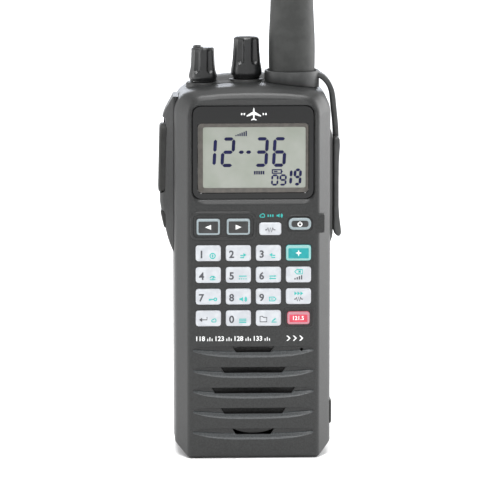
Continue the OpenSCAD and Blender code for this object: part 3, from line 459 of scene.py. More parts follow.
def bodyOutline(depth, inset=0.0, low=None):
    # closed front view of the body at a depth behind the front face, as x and z pairs
    edges = []
    for lip in body["frontLips"]:
        rolled = inset == 0 and depth < lip
        edges.append(lip - math.sqrt(max(lip ** 2 - (lip - depth) ** 2, 0)) if rolled else inset)
    crownShare = 0.3 + 0.7 * min(depth / 6, 1)       # the front edge of the top runs nearly straight
    crownR = crownRadius / crownShare
    sideIn = fading(depth, *body["sideBevel"], 1.6) + edges[0]
    topIn = fading(depth, *body["topSlope"], 1.6) + edges[1] + 0.6 * body["crown"] * (1 - crownShare)
    footIn = fading(depth, *body["footBevel"], 0.5) + edges[2]
    side = halfWidth - sideIn
    top = bodyTop - topIn
    radius = body["cornerRadius"] - sideIn * 0.5
    cutW, cutH = body["footCut"]
    slant = math.hypot(cutW, cutH)
    cutIn = footIn * 0.8
    footX = halfWidth - cutW + (cutW * footIn - slant * cutIn) / cutH
    footZ = max((cutH * (side - halfWidth + cutW) + slant * cutIn) / cutW, footIn + 0.3)
    right = []
    if low is None:
        corners = softCorners([(0, footIn), (footX, footIn), (side, footZ), (side, bodyTop / 2)],
                              [0.01, 0.5, 0.7, 0.01], 4)
        right += corners[5:15]
    else:
        corners = softCorners([(0, low), (side, low), (side, bodyTop)], [0.01, 0.8, 0.01], 4)
        right += corners[5:10]
    steps = 16
    for k in range(steps + 1):
        angle = math.pi / 2 * k / steps
        x = side - radius + radius * math.cos(angle)
        z = softLess(top - radius + radius * math.sin(angle), top - x * x / (2 * crownR), 1.4)
        right.append(Vector((x, z)))
    for k in range(1, 5):
        x = (side - radius) * (1 - k / 5)
        right.append(Vector((x, softLess(top, top - x * x / (2 * crownR), 1e-3))))
    left = [Vector((-p.x, p.y)) for p in reversed(right)]
    return right + [Vector((0, top))] + left


def bodyLoft(depths, insets=None, low=None, grow=0.0):
    rings = []
    for i, depth in enumerate(depths):
        inset = insets[i] if insets else grow
        rings.append(alongY(bodyOutline(depth, inset, low), frontY + depth))
    return loft(rings)


# front case

print("building the front case")
caseDepth = seamY - frontY
frontDepths = [0, 0.04, 0.14, 0.3, 0.5, 0.7, 0.95, 1.2, 1.45, 1.7, 1.95, 2.6, 3.4, 4.0, 4.6, 5.2, 5.8, 6.4,
               6.9, 7.4, 7.9, 8.4, 9.0, 9.8, 11.5, caseDepth - 0.25]
shell = newPiece("frontCase", bodyLoft(frontDepths + [caseDepth], [0.0] * len(frontDepths) + [0.2]),
                 caseFinish)
wall = body["wall"]
hollowDepths = [wall, 2.6, 3.4, 4.0, 4.6, 5.2, 5.8, 6.4, 6.9, 7.4, 7.9, 8.4, 9.0, 9.8, 11.5, caseDepth + 1]
carve(shell, [tool(bodyLoft(hollowDepths, [wall] * len(hollowDepths)))])

# display recess: a funnel with soft walls that ends at the black window
display = {
    "flare": (1.05, 2.4, 1.8),     # how far the walls lean out at the sides, top and bottom
    "reach": 3.4,                  # corner rounding of the window
}
windowMid = (windowLow + windowHigh) / 2
windowW = windowHigh.x - windowLow.x
windowH = windowHigh.z - windowLow.z


def funnelRing(share, y):
    # share runs from 0 at the window to 1 at the front face
    sideOut, topOut, footOut = [v * share for v in display["flare"]]
    w = windowW / 2 + 0.08 + sideOut
    low = windowLow.z - 0.08 - footOut
    high = windowHigh.z + 0.08 + topOut
    reach = display["reach"] + 3.2 * share
    points = [(-w, low), (w, low), (w, high), (-w, high)]
    outline = softCorners(points, reach, 8)
    bowed = []
    for p in outline:
        sag = 0.5 * (1 - (p[0] / w) ** 2) if p[1] < windowMid.z else -0.45 * (1 - (p[0] / w) ** 2)
        bowed.append((p[0], p[1] - sag))
    return alongY(bowed, y)


sink = windowLow.y - frontY
walls = [(0, sink + 0.1), (0.02, sink - 0.1), (0.15, sink * 0.71), (0.45, sink * 0.34), (0.75, sink * 0.1),
         (1.0, 0), (1.12, -0.25), (1.2, -1.0)]
funnel = tool(loft([funnelRing(s, frontY + d) for s, d in walls]))
seat = tool(loft([alongY(softBox(38.2, 24.2, 1.2, centre=(middle("lcd_module").x, middle("lcd_module").z)), y)
                  for y in (frontY + 0.5, frontY + wall + 3)]))
ledge = newPiece("windowLedge",
                 loft([alongY(softBox(windowW + 3, windowH + 1.6, 3, centre=(0, windowMid.z)), y)
                                      for y in (frontY + 1.6, windowHigh.y + 0.15)]), caseFinish)
carve(shell, [ledge], "UNION")
pocket = tool(loft([alongY(softBox(windowW + 0.2, windowH + 0.2, 3.4, 8, centre=(0, windowMid.z)), y)
                    for y in (windowLow.y - 0.02, windowHigh.y)]))
carve(shell, [funnel, pocket, seat])

# grille slots: straight above, bowed below, with a ledge and a rounded lower lip
grille = {
    "tops": [39.45, 32.25, 25.05, 17.85, 10.6],
    "halfWidth": 20.9,
    "height": 4.3,
    "sag": 2.1,
    "openings": [14.9, 22.9, 29.3, 22.9, 14.9],
    "sagPower": 3,          # higher keeps the lower edge straight for longer
    "endPower": 9,          # higher closes the ends more abruptly
    "endHeight": 0.35,      # share of the height that is left at the ends
    "endDrop": 0.9,         # how far the ends turn down
    "section": [(0.0, 0.0), (0.12, 0.03), (1.2, 0.06), (1.2, 0.42), (1.14, 0.44), (0.86, 0.5), (0.78, 0.53),
                (0.48, 0.76), (0.42, 0.79), (0.1, 0.87), (0.02, 0.9), (0.0, 0.93)],
}


def slotTool(top):
    rings = []
    half = grille["halfWidth"]
    stations = [math.sin(math.pi / 2 * k / 22) for k in range(-22, 23)]
    for share in stations:
        x = half * share
        height = grille["height"] - grille["sag"] * abs(share) ** grille["sagPower"]
        closing = math.sqrt(max(1 - abs(share) ** grille["endPower"], 0.0))
        height = max(height * (grille["endHeight"] + (1 - grille["endHeight"]) * closing), 0.2)
        deep = max(closing, 0.03)
        middleZ = top - grille["endDrop"] * (1 - closing)
        ring = [(x, frontY - 0.6, middleZ)]
        ring += [(x, frontY + d * deep, middleZ - h * height) for d, h in grille["section"]]
        ring.append((x, frontY - 0.6, middleZ - height))
        rings.append(ring)
    return loft(rings)


def openingTool(top, width):
    half = width / 2
    points = [(-half, top - 0.12), (half, top - 0.12), (half - 1.4, top - 2.25), (-half + 1.4, top - 2.25)]
    return loft([alongY(softCorners(points, 0.25, 3), y) for y in (frontY + 0.6, frontY + wall + 1)])


def gathered(parts):
    # one mesh out of several closed ones
    whole = bmesh.new()
    for part in parts:
        mesh = bpy.data.meshes.new("gathered")
        part.to_mesh(mesh)
        part.free()
        whole.from_mesh(mesh)
        bpy.data.meshes.remove(mesh)
    return whole


slots = gathered([slotTool(top) for top in grille["tops"]])
openings = gathered([openingTool(top, width) for top, width in zip(grille["tops"], grille["openings"])])
carve(shell, [tool(slots), tool(openings)])


def roundAlongX(radius, y, z, x0, x1):
    return tool(loft([alongX([(y + radius * math.cos(math.tau * k / 32),
                               z + radius * math.sin(math.tau * k / 32))
                              for k in range(32)], x) for x in (x0, x1)]))


powerLow, powerHigh = span("key_power")
pad = {"reach": (10.2, 24.6), "height": 6.6, "deep": 3.2}
padMid = ((pad["reach"][0] + pad["reach"][1]) / 2, (powerLow.z + powerHigh.z) / 2)
padWide = pad["reach"][1] - pad["reach"][0]
padTool = tool(loft([alongY(softBox(padWide - 2 * i, pad["height"] - 2 * i, 0.9, 5, padMid), frontY + y)
                     for i, y in ((0.3, 0.0), (0.12, 0.06), (0.0, 0.25), (0.0, pad["deep"]))]))
keyHole = tool(loft([alongY(softBox(powerHigh.x - powerLow.x - 0.7, powerHigh.z - powerLow.z - 0.7, 2.6, 8,
                                    ((powerLow.x + powerHigh.x) / 2, padMid[1])), frontY + y)
                                    for y in (-0.6, 0.55)]))
carve(shell, [padTool], "UNION")
carve(shell, [keyHole])
dcLow, dcHigh = span("dc_jack_cover")
dcMid = (dcLow + dcHigh) / 2
dcPocket = tool(loft([alongX(softBox(dcHigh.y - dcLow.y + 0.2, dcHigh.z - dcLow.z + 0.2, 1.0, 5,
                                     (dcMid.y, dcMid.z)), x)
                      for x in (dcLow.x - 0.05, dcHigh.x + 1)]))
microphoneMid = middle("microphone")
soundHole = tool(loft([alongY([(microphoneMid.x + 0.5 * math.cos(math.tau * k / 24),
                                microphoneMid.z + 0.5 * math.sin(math.tau * k / 24)) for k in range(24)], y)
                       for y in (frontY + 0.3, frontY + wall + 1)]))
sockets = {"y": seamY + 1.8, "heights": (bodyTop - 25.8, bodyTop - 36.8), "barrel": 3.1}
for item in [dcPocket, roundAlongX(2.6, dcMid.y, dcMid.z, 20, 28), soundHole]:
    carve(shell, [item])
for z in sockets["heights"]:
    carve(shell, [roundAlongX(sockets["barrel"], sockets["y"], z, 21, 31)])
# the upward slot ledges take a paler colour as painted highlight, without the grain of the face, so each slot
# reads as a lit shelf
shell.data.materials.clear()
for finish in (caseFinish, ledgeHighlightPaint):
    shell.data.materials.append(finish)
for face in shell.data.polygons:
    spot = face.center / mm
    low, high = grille["tops"][-1] - grille["height"] - 0.3, grille["tops"][0] - 0.3
    slotDeep = max(depth for depth, share in grille["section"])
    behind = frontY < spot.y < frontY + slotDeep - 0.01
    inside = abs(spot.x) < grille["halfWidth"] and low < spot.z < high and behind
    # faces that face up and out inside the slots take the painted highlight
    face.material_index = 1 if inside and face.normal.z > 0.1 and face.normal.y < -0.1 else 0
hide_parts("front_case")
dress(shell, "radio_body", 32)


# display: black window, steel frame, crystal glass and its figures

print("building the display")
lcdMid = middle("lcd_module")
screen = {
    "frame": (38.0, 24.0, 1.5),       # outer width, height and corner of the steel frame
    "view": (35.3, 21.1, 0.9),
    "viewShift": (0.4, 0.1),
    "back": 1.1,                      # how far the glass lies behind the window's face
}


def plateWithHole(name, outer, inner, yFront, yBack, material, body, chamfer=0.25):
    # flat ring between two outlines with the same count of points, its front edges broken
    def shrink(outline, centre, by):
        return [((p[0] - centre[0]) * (1 - by[0]) + centre[0], (p[1] - centre[1]) * (1 - by[1]) + centre[1])
                for p in outline]
    cx = sum(p[0] for p in outer) / len(outer)
    cz = sum(p[1] for p in outer) / len(outer)
    w = max(p[0] for p in outer) - cx
    h = max(p[1] for p in outer) - cz
    small = shrink(outer, (cx, cz), (chamfer / w, chamfer / h))
    wide = shrink(inner, (cx, cz), (-chamfer / w, -chamfer / h))
    rings = [alongY(inner, yBack), alongY(inner, yFront + chamfer), alongY(wide, yFront),
             alongY(small, yFront), alongY(outer, yFront + chamfer), alongY(outer, yBack)]
    bm = loft(rings + [rings[0]], capped=False)
    return newPiece(name, bm, material, body)


windowOuter = softBox(windowW, windowH, 3.3, 10, centre=(0, windowMid.z))
windowOuter = [(p[0], p[1] - (0.45 * (1 - (2 * p[0] / windowW) ** 2) if p[1] < windowMid.z else 0))
               for p in windowOuter]
aperture = softBox(screen["frame"][0], screen["frame"][1], screen["frame"][2], 10,
                   centre=(lcdMid.x, lcdMid.z))
window = plateWithHole("displayWindow", windowOuter, aperture, windowLow.y, windowHigh.y, windowFinish,
                       "radio_body", 0.18)
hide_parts("display_window")

viewMid = (lcdMid.x + screen["viewShift"][0], lcdMid.z + screen["viewShift"][1])
glassFront = windowLow.y + screen["back"]
frameOuter = softBox(screen["frame"][0] - 0.1, screen["frame"][1] - 0.1, 1.4, 10, centre=(lcdMid.x, lcdMid.z))
frameInner = softBox(screen["view"][0], screen["view"][1], screen["view"][2], 10, centre=viewMid)
newPiece("glassFrame", loft([alongY(frameInner, glassFront + 0.3), alongY(frameInner, glassFront - 0.15),
                             alongY(frameOuter, glassFront - 0.75), alongY(frameOuter, glassFront + 0.3),
                             alongY(frameInner, glassFront + 0.3)], capped=False),
         bezelFinish, "radio_body", 20)
glassOutline = softBox(screen["frame"][0] - 0.4, screen["frame"][1] - 0.4, 0.8, 6,
                       centre=(lcdMid.x, lcdMid.z))
glass = newPiece("crystalGlass",
                 loft([alongY(glassOutline, glassFront), alongY(glassOutline, glassFront + 2.2)]),
                 lcdFinish, "radio_body")
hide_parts("lcd_module")


def solidFlat(shapes, front, back, bm=None):
    # thin solid from flat polygons of x and z pairs
    bm = bm or bmesh.new()
    for shape in shapes:
        loft([alongY(shape, front), alongY(shape, back)], True, bm)
    return bm


def segmentFigure(code, x, z, width, height, stroke, lean=0.06):
    # one figure of a seven segment display; code lists the lit bars
    w, h, s = width, height, stroke
    g = 0.11 * s
    middleZ = h / 2
    half = s / 2

    def flat(x0, x1, zc):
        return [(x0 + g, zc), (x0 + half + g, zc + half), (x1 - half - g, zc + half), (x1 - g, zc),
                (x1 - half - g, zc - half), (x0 + half + g, zc - half)]

    def tall(xc, z0, z1):
        return [(xc, z0 + g), (xc + half, z0 + half + g), (xc + half, z1 - half - g), (xc, z1 - g),
                (xc - half, z1 - half - g), (xc - half, z0 + half + g)]
    bars = {
        "a": flat(half, w - half, h - half), "g": flat(half, w - half, middleZ),
        "d": flat(half, w - half, half),
        "f": tall(half, middleZ, h - half), "b": tall(w - half, middleZ, h - half),
        "e": tall(half, half, middleZ), "c": tall(w - half, half, middleZ),
    }
    return [[(x + px + lean * pz, z + pz) for px, pz in bars[bar]] for bar in code]


barsOf = {"0": "abcdef", "1": "bc", "2": "abged", "3": "abgcd", "4": "fgbc", "5": "afgcd", "6": "afgedc",
          "7": "abc", "8": "abcdefg", "9": "abcdfg", "-": "g"}


def strip(x0, z0, x1, z1):
    return [(x0, z0), (x1, z0), (x1, z1), (x0, z1)]


readout = []
bigFigures = [("1", -17.6, 4.7), ("2", -11.3, 4.7), ("-", -6.0, 3.3), ("-", -3.5, 3.3), ("3", 0.2, 4.7),
              ("6", 6.4, 4.7)]
for figure, x, width in bigFigures:
    readout += segmentFigure(barsOf[figure], x, 101.6, width, 10.3, 1.15)
for figure, x in [("0", 6.1), ("9", 8.9)]:
    readout += segmentFigure(barsOf[figure], x, 95.1, 2.5, 3.9, 0.65)
for figure, x in [("1", 10.5), ("9", 13.7)]:
    readout += segmentFigure(barsOf[figure], x, 95.1, 2.8, 5.9, 0.95)
readout += [strip(-6.1 + 0.7 * k, 112.3, -5.65 + 0.7 * k, 112.7 + 0.28 * k) for k in range(6)]
readout += [strip(0.3 + 0.75 * k, 99.0, 0.85 + 0.75 * k, 100.2) for k in range(5)]
readout += [strip(6.4, 99.2, 9.9, 99.6), strip(6.4, 100.4, 9.9, 100.8), strip(6.4, 99.6, 6.8, 100.4),
            strip(9.5, 99.6, 9.9, 100.4), strip(9.9, 99.8, 10.2, 100.2), strip(7.1, 99.8, 8.4, 100.2)]
newPiece("crystalFigures", solidFlat(readout, glassFront - 0.03, glassFront + 0.02), segmentFinish,
         "radio_body", 20, False)

# aeroplane mark above the display, printed behind the window
planeHalf = [(0, 2.3), (0.22, 1.9), (0.3, 0.9), (2.6, -0.5), (2.6, -0.95), (0.3, -0.25), (0.2, -1.5),
             (0.95, -2.0), (0.95, -2.35), (0, -2.1)]
plane = planeHalf + [(-x, z) for x, z in reversed(planeHalf[1:-1])]
planeMid = (0.2, windowHigh.z - 2.85)
markShapes = [[(planeMid[0] + x * 0.95, planeMid[1] + z * 0.95) for x, z in plane]]
for side in (-1, 1):
    for k in range(2):
        x0 = planeMid[0] + side * (3.0 + 0.9 * k)
        x1 = planeMid[0] + side * (3.5 + 0.9 * k)
        markShapes.append(strip(min(x0, x1), planeMid[1] - 0.35, max(x0, x1), planeMid[1] + 0.35))
newPiece("aeroplaneMark", solidFlat(markShapes, windowLow.y - 0.025, windowLow.y + 0.02), inks["white"],
         "radio_body", 20, False)


# keys

print("building the keys")
keys = {
    "fillet": 0.55,
    "crown": 0.07,
    "flange": 0.5,
    "stroke": 0.34,                   # line width of the printed pictograms
}


def keyFinishName(node):
    return {"key_function": "teal", "key_guard": "red", "key_left": "dark", "key_right": "dark",
            "key_power": "dark"}.get(node, "white")


# painted highlights on the rounded rims of the coloured keys: a paler copy of each key's colour
keyRimHighlights = {
    "teal": inkAndRimHighlightFinish("painted highlight, teal key rim", "7aa9a6", "83b0ad"),
    "red": inkAndRimHighlightFinish("painted highlight, red key rim", "a8707b", "ae7984"),
    "dark": inkAndRimHighlightFinish("painted highlight, dark key rim", "808c90", "8a969a"),
}


def buildKey(node):
    low, high = span(node)
    mid = (low + high) / 2
    flange = keys["flange"]
    width = high.x - low.x - 2 * flange
    height = high.z - low.z - 2 * flange
    finish = keyFinishName(node)
    reach = height * 0.48 if node == "key_power" else 1.15
    centre = (mid.x, mid.z)
    # width of the painted highlight band on the key rim; the white keys get none
    border = {"white": 0.0, "dark": 0.18, "red": 0.26}.get(finish, 0.28) if node != "key_power" else 0.45
    inner = frontY + body["wall"]

    def ring(inset, y, extra=0.0):
        outline = softBox(width - 2 * inset, height - 2 * inset, max(reach - inset, 0.25), 8, centre)
        if extra:
            outline = [(p[0], p[1] - extra if p[1] > mid.z else p[1]) for p in outline]
        return alongY(outline, y)
    plunger = softBox(2.3, 2.3, 1.1, 8, centre)
    fillet = keys["fillet"]
    face = low.y
    rings = [alongY(plunger, high.y), alongY(plunger, inner + 0.95), ring(-flange, inner + 0.95),
             ring(-flange, inner + 0.15), ring(0, inner + 0.14), ring(0, face + fillet + 0.2)]
    for k in range(6):
        angle = math.pi / 2 * k / 5
        rings.append(ring(fillet * (1 - math.cos(angle)),
                          face + keys["crown"] + fillet * (1 - math.sin(angle))))
    firstFace = len(rings) - 1
    rim = fillet + border
    # the painted highlight band runs wider along the top of the coloured keys, where the light falls
    rings.append(ring(rim, face + keys["crown"] * 0.75,
                      0.25 if finish != "white" and node != "key_power" else 0))
    rings.append(ring(min(rim + 0.5, height * 0.4), face + keys["crown"] * 0.35))
    rings.append(ring(height * 0.44, face))
    bm = loft(rings)
    bm.faces.ensure_lookup_table()
    # faces over the upper fillet and the edge of the top take the painted highlight colour
    if border:
        count = len(rings[0])
        for face in bm.faces[(firstFace - 3) * count:(firstFace + 1) * count]:
            face.material_index = 1
    piece = newPiece(node.replace("key_", "key."), bm, keyFinishes[finish])
    if border:
        piece.data.materials.append(keyRimHighlights[finish])
    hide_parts(node)
    dress(piece, "body_" + node, 40)
    return mid, width, height


def numberShapes(text, height, x, z, y, name, ink, body, align="CENTER", thick=0.0, widen=1.0):
    # figures from the built-in font, as a thin raised print
    curve = bpy.data.curves.new(name, "FONT")
    curve.body = text
    curve.align_x = "LEFT"
    curve.size = 1.0
    curve.offset = thick
    curve.resolution_u = 4
    temp = bpy.data.objects.new(name, curve)
    scene.collection.objects.link(temp)
    bpy.context.view_layer.update()
    mesh = bpy.data.meshes.new_from_object(temp.evaluated_get(bpy.context.evaluated_depsgraph_get()))
    bpy.data.objects.remove(temp)
    points = [v.co.copy() for v in mesh.vertices]
    xs = [p.x for p in points]
    ys = [p.y for p in points]
    scale = height / (max(ys) - min(ys))
    wide = (max(xs) - min(xs)) * scale * widen
    start = {"CENTER": x - wide / 2, "LEFT": x, "RIGHT": x - wide}[align]
    for v, p in zip(mesh.vertices, points):
        v.co = Vector((start + (p.x - min(xs)) * scale * widen, y,
                       z - height / 2 + (p.y - min(ys)) * scale)) * mm
    bm = bmesh.new()
    bm.from_mesh(mesh)
    bpy.data.meshes.remove(mesh)
    grown = bmesh.ops.extrude_face_region(bm, geom=list(bm.faces))
    moved = [g for g in grown["geom"] if isinstance(g, bmesh.types.BMVert)]
    bmesh.ops.translate(bm, verts=moved, vec=Vector((0, 0.05 * mm, 0)))
    return newPiece(name, bm, ink, body, 20, False)


def pictogram(name, lines, fills, centre, scale, y, ink, body, stroke=None):
    # strokes and filled shapes drawn in a square from -1 to 1, as a thin raised print
    bm = bmesh.new()
    stroke = stroke or keys["stroke"]
    for line in lines:
        closed = line[0] == line[-1]
        points = line[:-1] if closed else line
        path = [(centre[0] + px * scale, y, centre[1] + pz * scale) for px, pz in points]
        tubeAlong(path, stroke / 2, 6, closed, bm, 0.18)
    for shape in fills:
        placed = [(centre[0] + px * scale, centre[1] + pz * scale) for px, pz in shape]
        solidFlat([placed], y - 0.03, y + 0.03, bm)
    return newPiece(name, bm, ink, body, 20, False)


def ringLine(radius, x=0.0, z=0.0, start=0.0, end=360.0, steps=14):
    closed = abs(end - start) >= 360
    points = [(x + radius * math.cos(math.radians(start + (end - start) * k / steps)),
               z + radius * math.sin(math.radians(start + (end - start) * k / steps)))
               for k in range(steps + 1)]
    if closed:
        points[-1] = points[0]
    return points


signs = {
    "compass": ([ringLine(0.95)], [[(0, 0.75), (0.3, 0), (0, -0.75), (-0.3, 0)]]),
    "arrowTo": ([[(-0.9, -0.7), (0.5, -0.7)], [(-0.9, 0.1), (0.1, 0.1)]],
                [[(0.2, -0.45), (1.3, 0.3), (0.2, 1.0)]]),
    "arrowFrom": ([[(-0.5, -0.7), (0.9, -0.7)], [(-0.1, 0.1), (0.9, 0.1)]],
                  [[(-0.2, -0.45), (-0.2, 1.0), (-1.3, 0.3)]]),
    "needle": ([ringLine(1.0, 0, -0.5, 20, 160), [(0, -0.6), (0.45, 0.6)]], [strip(-1, -0.9, 1, -0.6)]),
    "dots": ([[(-1.4, 0.5), (1.4, 0.5)]],
             [strip(-1.4 + 0.8 * k, -0.7, -1.0 + 0.8 * k, -0.3) for k in range(4)]),
    "swap": ([[(-1.2, 0.45), (0.9, 0.45)], [(-0.9, -0.45), (1.2, -0.45)]],
             [[(0.7, 0.1), (1.4, 0.45), (0.7, 0.85)], [(-0.7, -0.8), (-1.4, -0.45), (-0.7, -0.1)]]),
    "lock": ([ringLine(0.5, 0.95, 0), [(0.45, 0), (-1.4, 0)], [(-1.2, 0), (-1.2, -0.5)],
              [(-0.7, 0), (-0.7, -0.4)]], []),
    "horn": ([ringLine(0.7, 0.25, 0, -50, 50, 6), ringLine(1.15, 0.25, 0, -50, 50, 6)],
             [[(-1.2, -0.35), (-0.6, -0.35), (0.1, -0.9), (0.1, 0.9), (-0.6, 0.35), (-1.2, 0.35)]]),
    "label": ([[(-1.2, 0.7), (0.5, 0.7), (1.2, 0), (0.5, -0.7), (-1.2, -0.7), (-1.2, 0.7)]],
              [strip(-0.8, -0.15, 0.3, 0.15)]),
    "cloud": ([ringLine(0.5, -0.5, -0.1, 60, 280, 8), ringLine(0.65, 0.2, 0.15, -20, 170, 8),
               [(-0.5, -0.6), (0.8, -0.6)]],
              [[(0.75, -0.6), (1.1, -0.3), (1.05, 0.05), (0.75, 0.1)]]),
    "bank": ([], [strip(-1.3, -0.8, 1.3, -0.45), strip(-1.3, -0.17, 1.3, 0.17), strip(-1.3, 0.45, 1.3, 0.8)]),
    "pencil": ([[(-1.1, -0.8), (1.1, -0.8)]],
               [[(-0.9, -0.5), (-0.75, 0.0), (0.5, 1.0), (0.9, 0.55), (-0.4, -0.4)]]),
    "cross": ([[(-1.4, 0), (-0.6, 0.8), (1.4, 0.8), (1.4, -0.8), (-0.6, -0.8), (-1.4, 0)],
               [(0, -0.35), (0.8, 0.4)], [(0.8, -0.35), (0, 0.4)]], []),
    "seek": ([], [[(-1.5, -0.7), (-0.5, 0), (-1.5, 0.7)], [(-0.4, -0.7), (0.6, 0), (-0.4, 0.7)],
                  [(0.7, -0.7), (1.7, 0), (0.7, 0.7)]]),
    "bars": ([], [strip(-1.5 + 0.8 * k, -0.75, -1.05 + 0.8 * k, -0.2 + 0.33 * k) for k in range(4)]),
    "enter": ([[(1.2, 0.8), (1.2, -0.1), (-0.6, -0.1)]], [[(-1.4, -0.1), (-0.4, -0.8), (-0.4, 0.6)]]),
    "memory": ([[(-1.1, -0.9), (1.1, -0.9), (1.1, 0.6), (0.0, 0.6), (-0.3, 0.95), (-1.1, 0.95),
                 (-1.1, -0.9)]], []),
    "wave": ([[(-1.6, 0), (-1.1, 0), (-0.8, 0.7), (-0.4, -0.7), (0, 0.7), (0.4, -0.7), (0.8, 0.7), (1.1, 0),
               (1.6, 0)]], []),
    "power": ([ringLine(0.8, 0, -0.1, 125, 415, 16), [(0, 0.15), (0, 1.05)]], []),
    "spark": ([], [[(0.0, 1.1), (0.28, 0.28), (1.1, 0.0), (0.28, -0.28), (0.0, -1.1), (-0.28, -0.28),
                    (-1.1, 0), (-0.28, 0.28)]]),
}

digitSigns = {"key_1": ("1", "compass"), "key_2": ("2", "arrowTo"), "key_3": ("3", "arrowFrom"),
              "key_4": ("4", "needle"),
              "key_5": ("5", "dots"), "key_6": ("6", "swap"), "key_7": ("7", "lock"), "key_8": ("8", "horn"),
              "key_9": ("9", "label"), "key_0": ("0", "bank")}
keyNodes = [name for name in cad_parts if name.startswith("key_")]
for node in keyNodes:
    mid, width, height = buildKey(node)
    face = span(node)[0].y - 0.005
    rider = "body_" + node
    label = node.replace("key_", "print.")
    if node in digitSigns:
        figure, sign = digitSigns[node]
        numberShapes(figure, 2.65, mid.x - width * 0.27, mid.z - 0.3, face, label + ".figure", inks["dark"],
                     rider, thick=0.03)
        lines, fills = signs[sign]
        pictogram(label + ".sign", lines, fills, (mid.x + width * 0.17, mid.z - 0.85), 0.95, face,
                  inks["teal"], rider, 0.38)
    elif node in ("key_clear", "key_scan"):
        upper, lower = ("cross", "bars") if node == "key_clear" else ("seek", "wave")
        for sign, ink, shift in ((upper, "teal", 1.05), (lower, "dark", -0.95)):
            lines, fills = signs[sign]
            pictogram(label + "." + ink, lines, fills, (mid.x, mid.z + shift), 0.95, face, inks[ink], rider,
                      0.38)
    elif node in ("key_enter", "key_memory"):
        first, second = ("enter", "cloud") if node == "key_enter" else ("memory", "pencil")
        for sign, ink, shift in ((first, "dark", -width * 0.2), (second, "teal", width * 0.22)):
            lines, fills = signs[sign]
            pictogram(label + "." + ink, lines, fills,
                      (mid.x + shift, mid.z - 0.3 - (0.4 if ink == "teal" else 0)),
                      1.05 if ink == "dark" else 0.8, face, inks[ink], rider, 0.34)
    elif node == "key_squelch":
        lines, fills = signs["wave"]
        pictogram(label + ".dark", lines, fills, (mid.x, mid.z - 0.3), 1.1, face, inks["dark"], rider,
                  0.36)
    elif node == "key_power":
        lines, fills = signs["power"]
        pictogram(label + ".white", lines, fills, (mid.x, mid.z), 0.85, face, inks["white"], rider,
                  0.36)
    elif node == "key_function":
        lines, fills = signs["spark"]
        pictogram(label + ".white", lines, fills, (mid.x, mid.z), 1.0, face, inks["white"], rider)
    elif node == "key_guard":
        numberShapes("121.5", 1.4, mid.x, mid.z, face, label + ".figure", inks["white"], rider,
                     thick=0.02)
    else:
        way = 1 if node == "key_right" else -1
        pictogram(label + ".white", [], [[(-0.9 * way, -0.8), (1.05 * way, 0), (-0.9 * way, 0.8)]],
                  (mid.x, mid.z - 0.1), 1.05, face, inks["white"], rider)

# raised rims round the arrow keys and the guard key, and the dish round the power key
leftKey, rightKey = middle("key_left"), middle("key_right")
guardKey, powerKey = middle("key_guard"), middle("key_power")


def rimPiece(name, centre, width, height, reach, radius, rise):
    outline = softBox(width, height, reach, 10, centre)
    bm = tubeAlong(alongY(outline, frontY + 0.05), radius, 12, True, None, rise / radius)
    return newPiece(name, bm, caseFinish, "radio_body", 60)


arrowMid = ((leftKey.x + rightKey.x) / 2, leftKey.z + 0.2)
rimPiece("arrowKeyRim", arrowMid, 21.6, 8.9, 2.6, 0.6, 0.42)
rimPiece("guardKeyRim", (guardKey.x, guardKey.z), 10.0, 6.6, 1.7, 0.36, 0.32)
rimPiece("powerKeyRim", (powerKey.x, powerKey.z - 0.2), 9.3, 5.8, 2.7, 0.32, 0.2)
newPiece("arrowKeyDivider", loft([alongY(softBox(0.9, 6.6, 0.3, 4, arrowMid), frontY + d)
                                  for d in (0.1, -0.18)]), caseFinish, "radio_body")

# printed scale below the keys: airband frequencies with ticks, and a small chevron mark
scaleZ = 42.2
printY = frontY - 0.004
for text, x in (("118", -18.2), ("123", -11.6), ("128", -5.0), ("133", 1.6)):
    numberShapes(text, 1.7, x, scaleZ, printY, "scale." + text, inks["white"], "radio_body",
                 "CENTER", 0.02)
ticks = []
for k in range(4):
    for j in range(3):
        ticks.append(strip(-15.9 + 6.6 * k + 0.75 * j, scaleZ - 0.85, -15.6 + 6.6 * k + 0.75 * j,
                           scaleZ + (0.0 if j != 1 else 0.5)))
newPiece("scale.ticks", solidFlat(ticks, printY - 0.005, printY + 0.05), inks["white"], "radio_body",
         20, False)
marks = [[(11.4 + 2.2 * k + x, scaleZ + z) for x,
          z in [(0, -0.9), (0.55, -0.9), (1.45, 0), (0.55, 0.9), (0, 0.9), (0.9, 0)]]
         for k in range(3)]
newPiece("scale.chevrons", solidFlat(marks, printY - 0.005, printY + 0.05), inks["white"], "radio_body",
         20, False)
lines, fills = signs["cloud"]
pictogram("print.weather.cloud", lines, fills, (3.1, 85.0), 0.85, printY, inks["teal"], "radio_body",
          0.28)
lines, fills = signs["horn"]
pictogram("print.weather.horn", lines, fills, (8.9, 85.0), 0.75, printY, inks["teal"], "radio_body",
          0.28)
newPiece("print.weather.bar",
         solidFlat([strip(4.9, 84.6, 5.3, 85.4), strip(5.7, 84.6, 6.1, 85.4), strip(6.5, 84.6, 6.9, 85.4)],
                                        printY - 0.005, printY + 0.05), inks["teal"], "radio_body",
                                        20, False)


# chassis: tray, hood, wings and the collars under the knobs

